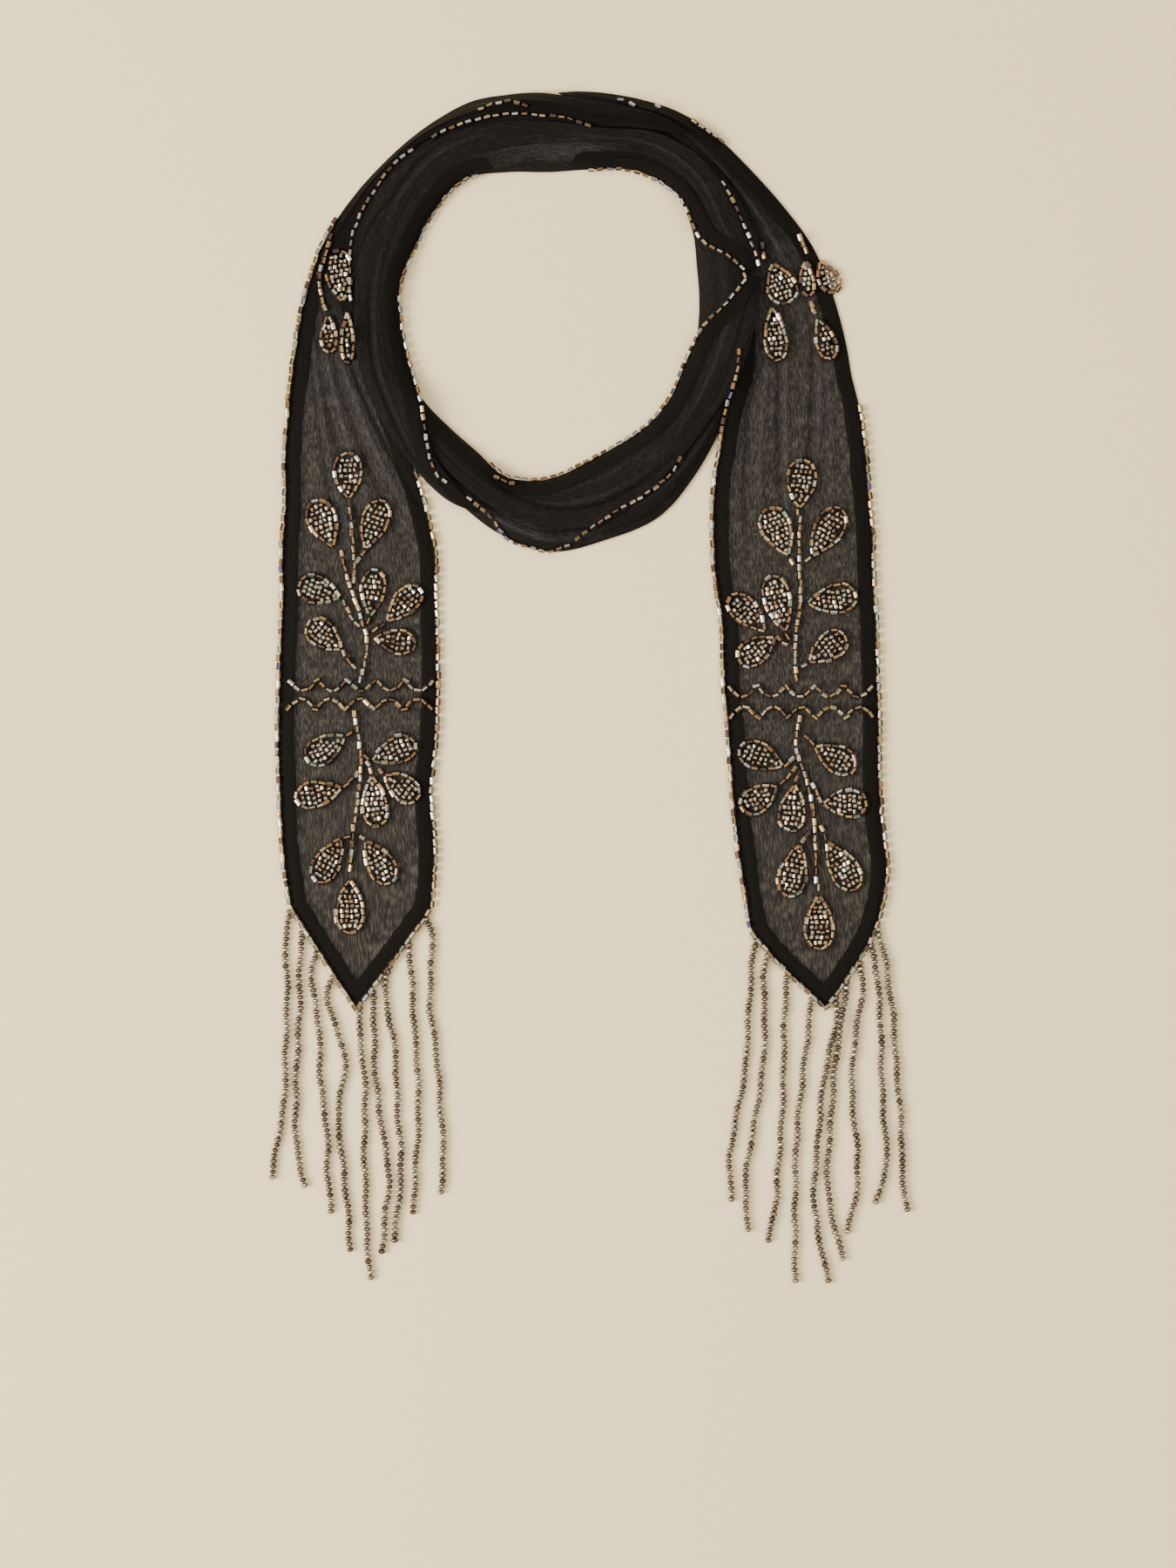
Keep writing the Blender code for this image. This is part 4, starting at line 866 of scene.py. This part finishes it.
def beadPiece(name, beads, material, replaced=()):
    points, faces, shadedTints, base = [], [], [], 0
    for one in beads:
        shape = templates[one["template"]]
        turn, tip, roll = one["heading"], one["tip"], chance.uniform(0.0, math.pi)
        axis = np.array([math.cos(turn) * math.cos(tip), math.sin(turn) * math.cos(tip),
                         math.sin(tip)])
        side = np.array([-math.sin(turn), math.cos(turn), 0.0])
        lift = np.cross(axis, side)
        first = side * math.cos(roll) + lift * math.sin(roll)
        second = np.cross(axis, first)
        local = shape["points"] * one["scale"]
        placed = (local[:, :1] * first + local[:, 1:2] * second + local[:, 2:] * axis
                  + np.array(one["place"]) * mm)
        points.append(placed)
        faces += [tuple(base + index for index in face) for face in shape["faces"]]
        base += len(placed)
        # a bead is darker towards its underside, in the shade of what it lies on
        rise = (placed[:, 2] - one["place"][2] * mm) / (shape["reach"] * one["scale"])
        lit = np.clip(beadShade["middle"] + beadShade["slope"] * rise, beadShade["under"], 1.0)
        shade = shape["shade"] * lit
        shadedTints.append(np.column_stack([shade[:, None] * np.array(one["tone"]),
                                      np.ones(len(placed))]))
    mesh = bpy.data.meshes.new(name)
    mesh.from_pydata(np.concatenate(points).tolist(), [], faces)
    solid = bmesh.new()
    solid.from_mesh(mesh)
    bmesh.ops.recalc_face_normals(solid, faces=solid.faces)
    solid.to_mesh(mesh)
    solid.free()
    # each bead's colour is stored with its painted shade multiplied in
    tint = mesh.attributes.new("tint", "FLOAT_COLOR", "POINT")
    tint.data.foreach_set("color", np.concatenate(shadedTints).astype(np.float32).ravel())
    mesh.materials.append(material)
    piece = bpy.data.objects.new(name, mesh)
    bpy.context.scene.collection.objects.link(piece)
    bpy.ops.object.select_all(action="DESELECT")
    bpy.context.view_layer.objects.active = piece
    piece.select_set(True)
    bpy.ops.object.shade_smooth_by_angle(angle=math.radians(beadShade["sharpAngle"]))
    piece.select_set(False)
    if replaced:
        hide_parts(*replaced)
    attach(piece, "root")
    print("beaded", name, len(beads))


# How unevenly a row is sewn, and how its beads are seated: how far above cloth and table a bead's
# middle lies, as a share of its radius, and how far round it cloth is looked for
rowSewing = {
    "along": 0.22,
    "aside": 0.16,
    "turn": 0.14,
    "tip": 0.06,
    "scale": (0.9, 1.07),
    "onCloth": 0.88,
    "onTable": 1.12,
    "reach": 0.8,
}


def edgeRow(line, setting, tones, template="edge"):
    sewing = rowSewing
    lengths = lengthsAlong(line)
    count = max(round(lengths[-1] / setting["pitch"]), 1)
    beads = []
    for k in range(count):
        place = (k + 0.5) * lengths[-1] / count + jitter(sewing["along"])
        x, y = readLine(line, lengths, [place])[0]
        ahead = readLine(line, lengths, [min(place + 1.0, lengths[-1])])[0]
        behind = readLine(line, lengths, [max(place - 1.0, 0.0)])[0]
        heading = math.atan2(*(ahead - behind)[::-1]) + jitter(sewing["turn"])
        x += jitter(sewing["aside"])
        y += jitter(sewing["aside"])
        z = max(clothHeight(x, y, sewing["reach"]) + setting["radius"] * sewing["onCloth"],
                setting["radius"] * sewing["onTable"])
        beads.append(bead(template, x, y, z, heading, tones, jitter(sewing["tip"]),
                          chance.uniform(*sewing["scale"])))
    return beads


tipRow = 12            # a row of the cloth that lies well inside the point, behind its edge


def clothEdge(name, edge, start=None, stop=None, out=0.3):
    # a line just outside an edge of a stretch, between two places
    item = clothPieces[name]
    line = item["edges"][edge]
    if edge == "tip":
        away = line - item["plan"][tipRow]
    else:
        away = line - item["edges"]["inner" if edge == "outer" else "outer"]
    away = away / np.maximum(np.linalg.norm(away, axis=1), 1e-9)[:, None]
    return partOf(line + away * out, start, stop)


# Rows of cut beads. Along the edges: stretch, edge, the places between which it carries beads, and
# how far outside the edge they lie where it isn't as usual. Free rows, where a beaded edge of a hidden
# layer peeps out: places on a smooth line.
edgeRows = {
    "leftEndBeads": {
        "bead": "edge",
        "edges": [("leftEnd", "outer", None, (-91.7, 172.5)),
                  ("leftEnd", "inner", None, (-64.8, 79.7))],
        "free": [],
    },
    "leftShoulderBeads": {
        "bead": "ring",
        "edges": [],
        "free": [[(-87.5, 140.5), (-88.3, 150.1), (-87.2, 164.5), (-85.0, 170.9), (-81.8, 177.3),
                  (-77.9, 183.7), (-73.4, 189.8), (-67.7, 195.2), (-60.0, 199.7), (-53.6, 203.5),
                  (-47.2, 205.8), (-39.8, 207.7), (-32.8, 209.3), (-24.8, 209.6), (-16.8, 209.0),
                  (-9.4, 208.3), (-4.0, 206.4), (0.8, 204.5)],
                 [(-41.4, 210.9), (-37.6, 212.4), (-34.4, 213.3), (-30.6, 213.8), (-27.4, 213.4),
                  (-22.2, 211.8)]],
    },
    "rightEndBeads": {
        "bead": "edge",
        "edges": [("rightEnd", "outer", None, (98.4, 103.7)),
                  ("rightEnd", "inner", None, (57.4, 124.5))],
        "free": [],
    },
    "rightShoulderBeads": {
        "bead": "ring",
        "edges": [("rightEnd", "outer", (38.3, 209.9), (50.4, 200.0), -0.5)],
        "free": [[(9.0, 215.2), (13.0, 214.4), (16.8, 212.2)], [(23.8, 213.0), (26.0, 212.1)]],
    },
    "upperTurnBeads": {
        "bead": "ring",
        "edges": [("upperTurn", "inner", (-62.6, 106.9), (-40.8, 188.5)),
                  ("upperTurn", "inner", (-1.1, 190.1), None),
                  ("upperTurn", "outer", (48.2, 185.9), None)],
        "free": [[(-62.6, 106.9), (-61.3, 100.5), (-60.0, 91.8), (-58.7, 83.8), (-57.1, 79.7),
                  (-55.2, 76.5), (-52.0, 74.2)], [(56.2, 151.0), (56.9, 149.6)]],
    },
    "lowerTurnBeads": {
        "bead": "ring",
        "edges": [("lowerTurn", "inner", None, (-37.6, 81.9))],
        "free": [[(-36.0, 77.1), (-32.8, 76.2), (-30.2, 74.9), (-27.0, 74.2)],
                 [(-6.0, 53.4), (-3.0, 56.0), (4.0, 60.5), (9.4, 64.3), (19.4, 69.8), (27.0, 75.5),
                  (30.2, 78.7), (33.1, 84.5)]],
    },
    "outerTurnBeads": {
        "bead": "ring",
        "edges": [],
        "free": [[(-45.6, 70.1), (-42.4, 67.8), (-39.8, 65.3), (-37.6, 63.7), (-35.0, 60.5),
                  (-33.1, 57.3), (-28.0, 53.1), (-21.6, 51.2), (-16.8, 49.9), (-12.0, 50.6),
                  (-6.6, 52.5)]],
    },
}


def sewEdges():
    for name, rows in edgeRows.items():
        beads = []
        kind = rows["bead"]
        setting, tones = {"edge": (edgeBead, cutTones), "ring": (ringBead, ringTones)}[kind]
        for row in rows["edges"]:
            beads += edgeRow(clothEdge(*row), setting, tones, kind)
        for row in rows["free"]:
            beads += edgeRow(smoothRows(row, 10), setting, tones, kind)
        beadPiece(name, beads, cutGlass)


sewEdges()
print("edges beaded")

# Leaves of each spray: x, y, heading of the pointed tip, length, width, and the share of the main
# stem at which its own stem leaves, if it has one. Stems: places on smooth lines.
leafShape = {
    "point": 0.8,          # the higher, the slimmer the tip
    "fullest": 0.803,      # the greatest value of the formula, so that the width is the leaf's own
    "dome": 0.5,           # how much higher the filling is in the middle
    "outline": 97,         # places on the outline, the first one again at its end
    "bow": 0.08,           # how far the stem of a leaf bows, as a share of its length
}
# Room that beads of each kind need beside those sewn before
sewingRoom = {"stem": 1.6, "outline": 1.8, "fill": 1.34}
# How a leaf is filled: the gap inside the outline as a share of a filling bead's radius, how readily
# a row takes one more bead, 1 always, how far the rows are staggered, how uneven it is, and how far
# beside the filling its dome ends
filling = {
    "gap": 0.62,
    "fits": 0.95,
    "stagger": 0.2,
    "along": 0.2,
    "aside": 0.16,
    "turn": 0.3,
    "tip": 0.15,
    "scale": (0.88, 1.05),
    "domeEdge": 0.5,
}
sprays = {
    "leftUpper": {
        "leaves": [(-88.8, 77.4, -88, 18.5, 11.8, None), (-97.8, 60.0, -68, 19.5, 12.2, None),
                   (-79.4, 59.6, -110, 20.0, 11.4, 0.76), (-99.2, 35.4, -18, 17.5, 11.8, 0.38),
                   (-79.8, 34.8, -96, 18.5, 10.4, 0.34), (-68.7, 30.4, -134, 18.5, 10.8, 0.34),
                   (-71.5, 16.9, 170, 16.5, 10.4, 0.32), (-97.4, 18.8, -38, 17.0, 11.6, 0.08)],
        "stems": [[(-84.6, 1.4), (-82.6, 9.0), (-81.8, 17.3), (-84.0, 25.0), (-86.6, 33.6),
                   (-89.3, 41.3), (-91.4, 50.6)],
                  [(-86.9, 37.6), (-86.6, 48.0), (-87.7, 60.5), (-88.2, 66.5)]],
        "node": "left_upper_spray",
    },
    "leftLower": {
        "leaves": [(-97.1, -22.4, 32, 17.5, 11.6, 0.14), (-72.0, -23.5, -157, 18.5, 11.4, 0.38),
                   (-99.6, -39.0, 14, 18.5, 11.2, 0.44), (-79.1, -41.8, 95, 20.0, 11.0, 0.38),
                   (-69.3, -36.4, 146, 16.5, 11.0, 0.38), (-95.8, -63.4, 60, 19.5, 11.4, 0.74),
                   (-77.6, -64.0, 122, 19.5, 11.4, 0.74), (-88.2, -80.3, 90, 21.0, 12.0, 0.96)],
        "stems": [[(-86.8, -8.0), (-84.8, -20.0), (-84.2, -31.0), (-87.0, -54.0), (-88.2, -68.0)]],
        "node": "left_lower_spray",
    },
    "rightUpper": {
        "leaves": [(77.3, 74.6, -96, 19.0, 12.0, 0.96), (68.9, 56.9, -66, 20.5, 12.6, 0.68),
                   (86.7, 56.9, -122, 21.5, 12.2, 0.68), (69.0, 30.6, -76, 22.5, 11.4, 0.22),
                   (57.9, 27.0, -45, 19.5, 11.0, 0.20), (88.6, 32.2, -170, 19.5, 12.2, 0.42),
                   (61.2, 13.8, 35, 17.0, 11.2, 0.20), (86.8, 14.2, -143, 18.0, 11.6, 0.08)],
        "stems": [[(75.6, 2.0), (75.4, 18.0), (77.2, 33.0), (76.6, 47.0), (77.0, 63.0)]],
        "node": "right_upper_spray",
    },
    "rightLower": {
        "leaves": [(62.8, -25.6, -22, 18.5, 11.6, 0.30), (89.8, -25.8, 151, 18.0, 11.6, 0.14),
                   (62.2, -40.6, 32, 17.0, 11.2, 0.36), (74.1, -44.2, 84, 18.5, 11.2, 0.36),
                   (93.3, -42.6, 180, 17.5, 11.8, 0.50), (74.7, -67.2, 76, 21.0, 11.8, 0.74),
                   (92.3, -65.6, 122, 21.5, 12.2, 0.74), (84.0, -86.1, 92, 21.5, 12.0, 0.96)],
        "stems": [[(77.2, -10.0), (75.4, -21.0), (79.2, -33.0), (82.2, -48.0), (83.0, -72.0)]],
        "node": "right_lower_spray",
    },
    "leftShoulder": {
        "leaves": [(-91.9, 150.6, -82, 20.5, 12.0, None), (-95.8, 129.4, 92, 15.0, 7.4, None),
                   (-88.8, 128.0, 90, 20.0, 6.6, None)],
        "stems": [[(-94.8, 166.4), (-97.1, 158.4), (-99.4, 150.7), (-98.6, 143.6), (-96.6, 137.6)]],
        "node": "left_shoulder_spray",
    },
    "rightShoulder": {
        "leaves": [(69.6, 147.8, 112, 17.0, 12.6, None), (79.3, 149.8, 96, 14.5, 6.8, None),
                   (87.0, 150.6, 118, 14.0, 9.0, None), (67.6, 129.4, 97, 21.0, 9.8, None),
                   (86.0, 127.6, 110, 17.0, 8.8, None)],
        "stems": [[(62.9, 163.4), (63.0, 160.0), (63.8, 156.6)],
                  [(76.2, 166.4), (77.8, 162.4), (79.6, 158.6)],
                  [(80.6, 141.6), (81.8, 138.6), (83.0, 136.4)]],
        "node": "right_shoulder_spray",
    },
}


def leafReach(around):
    # how wide a leaf is at each turn from its pointed tip, 0, to its round end, half a turn on
    return np.sin(around) * np.abs(np.sin(around / 2.0)) ** leafShape["point"] / leafShape["fullest"]


def leafLine(x, y, heading, length, width):
    turn = math.radians(heading)
    along = np.array([math.cos(turn), math.sin(turn)])
    aside = np.array([-along[1], along[0]])
    around = np.linspace(0.0, 2.0 * math.pi, leafShape["outline"])
    forth = (length / 2.0 - leafBead["radius"]) * np.cos(around)
    out = (width / 2.0 - leafBead["radius"]) * leafReach(around)
    return np.array([x, y]) + forth[:, None] * along + out[:, None] * aside


def fillLeaf(x, y, heading, length, width):
    turn = math.radians(heading)
    beads = []
    room = leafBead["radius"] * 2.0 + fillBead["radius"] * filling["gap"]
    halfLength, halfWidth = length / 2.0 - room, width / 2.0 - room
    rows = max(round(2.0 * halfLength / fillBead["along"]), 1)
    for row in range(rows):
        forth = -halfLength + 2.0 * halfLength * (row + 0.5) / rows
        reach = halfWidth * float(leafReach(math.acos(forth / halfLength)))
        count = max(int(2.0 * reach / fillBead["aside"] + filling["fits"]), 1)
        stagger = filling["stagger"] if row % 2 else -filling["stagger"]
        for column in range(count):
            out = (column + 0.5 - count / 2.0) * fillBead["aside"] + stagger
            a = forth + jitter(filling["along"])
            b = out + jitter(filling["aside"])
            px = x + math.cos(turn) * a - math.sin(turn) * b
            py = y + math.sin(turn) * a + math.cos(turn) * b
            middle = 1.0 - math.hypot(a / halfLength, b / (halfWidth + filling["domeEdge"]))
            z = clothHeight(px, py) + fillBead["radius"] + leafShape["dome"] * max(middle, 0.0)
            # about one bead in three lies across
            angle = turn + chance.choice([0.0, 0.0, math.pi / 2.0]) + jitter(filling["turn"])
            beads.append(bead("fill", px, py, z, angle, fillTones, jitter(filling["tip"]),
                              chance.uniform(*filling["scale"])))
    return beads


def sewOn(beads, more, room):
    # only where there is room beside the beads sewn before
    before = list(beads)
    for one in more:
        x, y = one["place"][:2]
        gap = min((math.hypot(x - other["place"][0], y - other["place"][1]) for other in before),
                  default=room)
        if gap >= room:
            beads.append(one)


def sewSpray(name, spray):
    beads = []
    stems = [smoothRows(places, 10) for places in spray["stems"]]
    for line in stems:
        sewOn(beads, edgeRow(line, leafBead, leafTones, "leaf"), sewingRoom["stem"])
    for *leaf, joint in spray["leaves"]:
        outline = edgeRow(leafLine(*leaf), leafBead, leafTones, "leaf")
        sewOn(beads, outline, sewingRoom["outline"])
    for *leaf, joint in spray["leaves"]:
        x, y, heading, length, width = leaf
        sewOn(beads, fillLeaf(*leaf), sewingRoom["fill"])
        if joint is None:
            continue
        turn = math.radians(heading)
        start = stems[0][round(joint * (len(stems[0]) - 1))]
        end = np.array([x, y]) + np.array([math.cos(turn), math.sin(turn)]) * (length / 2.0)
        way = end - start
        if np.linalg.norm(way) > leafBead["pitch"]:
            bow = np.array([-way[1], way[0]]) * leafShape["bow"]
            line = smoothRows([start, start + way * 0.5 + bow, end], 10)
            sewOn(beads, edgeRow(line, leafBead, leafTones, "leaf"), sewingRoom["outline"])
    beadPiece(name + "Spray", beads, cutGlass, [spray["node"]])


for sprayName, spray in sprays.items():
    sewSpray(sprayName, spray)
print("sprays sewn")

# Scalloped bead lines: left and right place, arcs, how far each arc bulges up or, below 0, sags, and
# the node
scallops = {
    "leftUpperScallop": (-110.5, 2.8, -57.5, 2.8, 5, -4.0, "left_upper_scallop"),
    "leftLowerScallop": (-111.5, -8.4, -57.8, -8.4, 5, 4.0, "left_lower_scallop"),
    "rightUpperScallop": (50.5, 0.6, 103.5, 0.6, 5, -4.0, "right_upper_scallop"),
    "rightLowerScallop": (51.0, -11.4, 104.0, -11.4, 5, 4.0, "right_lower_scallop"),
}
for scallopName, (leftX, leftY, rightX, rightY, arcs, bulge, node) in scallops.items():
    share = np.linspace(0.0, 1.0, 121)
    line = np.column_stack([leftX + (rightX - leftX) * share, leftY + (rightY - leftY) * share])
    line[:, 1] += bulge * np.abs(np.sin(np.pi * arcs * share))
    row = edgeRow(line, leafBead, leafTones, "leaf")
    beadPiece(scallopName, row, cutGlass, [node])
print("scallops sewn")

# Fringe strands: root across the point's edge, from -1 to 1, the y where the strand ends, and how far
# it sways to the right at each of the shares of its length after the first
swayShares = (0.0, 0.1, 0.3, 0.5, 0.7, 0.85, 1.0)
strandSewing = {
    "start": 0.6,          # how far below the edge a strand starts
    "points": 60,
    "ripple": (0.3, 0.35, 6.0),     # size, crowding, and the range of its start
    "crossing": 1.7,       # distance at which strands cross, as a share of a bead's radius
    "over": 1.5,           # how far the upper one is lifted there, in the same way
    "easing": 5,           # beads over which it climbs
    "gap": 0.05,           # between a bead and the table
    "turn": 0.22,
    "aside": 0.12,
    "scale": (0.9, 1.04),
}
fringes = {
    "leftFringe": {
        "end": "leftEnd",
        "node": "left_fringe",
        "strands": [(-0.99, -180.8, -2.2, -1.6, -2.2, -2.6, -5.0, -7.5),
                    (-0.80, -183.6, -1.5, -1.5, -2.5, -3.0, -2.5, 0.5),
                    (-0.60, -193.3, -2.0, 0.8, 1.4, 3.8, 3.8, 5.6),
                    (-0.36, -207.3, -1.8, 4.5, 2.0, 4.0, 5.5, 6.5),
                    (0.06, -217.6, -0.5, 1.6, 1.2, 1.8, 2.2, 3.6),
                    (0.22, -208.0, 0.5, 0.8, 3.0, 6.0, 4.6, 3.4),
                    (0.48, -203.9, -2.6, 1.0, 1.8, 3.4, 2.5, 0.5),
                    (0.70, -193.6, 1.0, 2.0, 3.5, 3.5, 2.5, 2.0),
                    (0.95, -186.2, 2.0, 1.0, 3.5, 5.0, 6.0, 5.0)],
    },
    "rightFringe": {
        "end": "rightEnd",
        "node": "right_fringe",
        "strands": [(-0.95, -188.8, -1.2, -2.6, -3.8, -7.4, -9.6, -8.6),
                    (-0.79, -200.0, -1.5, -1.0, -3.0, -6.6, -8.3, -7.0),
                    (-0.52, -203.9, -1.0, -1.5, -2.0, -3.5, -4.5, -7.5),
                    (-0.20, -218.7, -1.0, -3.5, -5.5, -6.0, -6.0, -6.0),
                    (0.20, -218.7, -0.5, -5.0, -7.0, -8.5, -6.5, -3.0),
                    (0.40, -210.6, -1.6, -4.6, -6.2, -7.6, -5.6, -1.4),
                    (0.63, -200.6, 1.0, -2.0, -3.0, -1.0, -1.5, -5.0),
                    (0.82, -189.7, 2.2, 3.8, 4.2, 5.2, 6.0, 1.6),
                    (0.97, -192.6, 2.6, 5.6, 7.0, 8.8, 9.0, 10.7)],
    },
}


def strandBeads(root, endY, sways, laid):
    sewing, radius = strandSewing, seedBead["radius"]
    smooth = smoothRows(np.column_stack([swayShares, (0.0,) + sways]), 8)
    shares = np.linspace(0.0, 1.0, sewing["points"])
    start = root[1] - sewing["start"]
    line = np.column_stack([root[0] + np.interp(shares, smooth[:, 0], smooth[:, 1]),
                            start + (endY - start) * shares])
    size, crowding, most = sewing["ripple"]
    line[:, 0] += size * np.sin(line[:, 1] * crowding + chance.uniform(0.0, most))
    lengths = lengthsAlong(line)
    count = round(lengths[-1] / seedBead["pitch"])
    places = readLine(line, lengths, (np.arange(count) + 0.5) * lengths[-1] / count)
    lift = np.zeros(count)
    for k, place in enumerate(places):
        # a strand lies over those laid before it where they cross
        nearest = min((math.hypot(*(place - other)) for other in laid), default=math.inf)
        if nearest < radius * sewing["crossing"]:
            lift[k] = radius * sewing["over"]
    easing = sewing["easing"]
    lift = np.convolve(np.pad(lift, easing // 2, mode="edge"), np.ones(easing) / easing, mode="valid")
    headings = np.gradient(places, axis=0)
    beads = []
    for (x, y), rise, ahead in zip(places, lift, headings):
        heading = math.atan2(ahead[1], ahead[0]) + jitter(sewing["turn"])
        beads.append(bead("seed", x + jitter(sewing["aside"]), y, radius + sewing["gap"] + rise,
                          heading, seedTones, 0.0, chance.uniform(*sewing["scale"])))
    laid += list(places)
    return beads


for fringeName, fringe in fringes.items():
    tipLine = clothEdge(fringe["end"], "tip", out=0.5)
    across = clothPieces[fringe["end"]]["across"]
    if tipLine[0, 0] > tipLine[-1, 0]:
        tipLine = tipLine[::-1]
    row = edgeRow(tipLine, edgeBead, cutTones)
    laid = []
    for root, endY, *sways in fringe["strands"]:
        place = np.array([np.interp(root, across, tipLine[:, k]) for k in (0, 1)])
        row += strandBeads(place, endY, tuple(sways), laid)
    beadPiece(fringeName, row, seedGlass, [fringe["node"]])
print("fringes hung")

# The table and the lights in metres, and the camera's place in millimetres
table = {
    "size": 3.0,
    "sunk": -0.0001,
    "colour": (0.878, 0.702, 0.400),
    "spread": 0.02,        # how much lighter and darker its grain is
    "grain": (240.0, 240.0, 240.0),
}
studio = {"zenith": 2.12, "horizon": 0.08, "edge": 0.38, "tint": (1.0, 0.985, 0.955, 1.0)}
lights = {
    "key": {"place": (-1.35, -0.30, 1.10), "size": 0.95, "watts": 57.0},
    "fill": {"place": (0.9, 0.6, 1.6), "size": 1.4, "watts": 5.0},
}
camera = {"place": (-0.8, -35.5, 1360.0), "lens": 85.0}


def tableFinish():
    finish = Finish("tableTop", {"Roughness": 0.9, "Specular IOR Level": 0.1})
    grain = finish.noise(finish.place(), table["grain"], 3.0, 0.6)
    darker, lighter = (tuple(value * share for value in table["colour"]) + (1.0,)
                       for share in (1.0 - table["spread"], 1.0 + table["spread"]))
    return finish.set(Base_Color=finish.between(grain, darker, lighter))


bpy.ops.mesh.primitive_plane_add(size=table["size"], location=(0.0, 0.0, table["sunk"]))
floor = bpy.context.object
floor.name = "tableTop"
floor.data.materials.append(tableFinish())

world = bpy.data.worlds.new("studio")
bpy.context.scene.world = world
world.use_nodes = True
sky = world.node_tree
skyPlace = sky.nodes.new("ShaderNodeTexCoord")
skyParts = sky.nodes.new("ShaderNodeSeparateXYZ")
skyRange = sky.nodes.new("ShaderNodeMapRange")
skyRange.interpolation_type = "SMOOTHSTEP"
skyRange.inputs["From Min"].default_value = studio["edge"]
skyRange.inputs["To Min"].default_value = studio["horizon"]
skyRange.inputs["To Max"].default_value = studio["zenith"]
sky.links.new(skyPlace.outputs["Generated"], skyParts.inputs["Vector"])
sky.links.new(skyParts.outputs["Z"], skyRange.inputs["Value"])
sky.links.new(skyRange.outputs["Result"], sky.nodes["Background"].inputs["Strength"])
sky.nodes["Background"].inputs["Color"].default_value = studio["tint"]


def softLight(name, place, size, watts):
    light = bpy.data.lights.new(name, "AREA")
    light.size = size
    light.energy = watts
    lamp = bpy.data.objects.new(name, light)
    bpy.context.scene.collection.objects.link(lamp)
    lamp.location = place
    lamp.rotation_euler = (-Vector(place)).to_track_quat("-Z", "Y").to_euler()


for lightName, setting in lights.items():
    softLight(lightName, setting["place"], setting["size"], setting["watts"])

eye = bpy.data.cameras.new("camera")
eye.lens = camera["lens"]
eye.sensor_width = 36.0
eye.clip_end = 20.0
cameraObject = bpy.data.objects.new("camera", eye)
bpy.context.scene.collection.objects.link(cameraObject)
cameraObject.location = [value * mm for value in camera["place"]]
bpy.context.scene.camera = cameraObject
print("table, light and camera set")
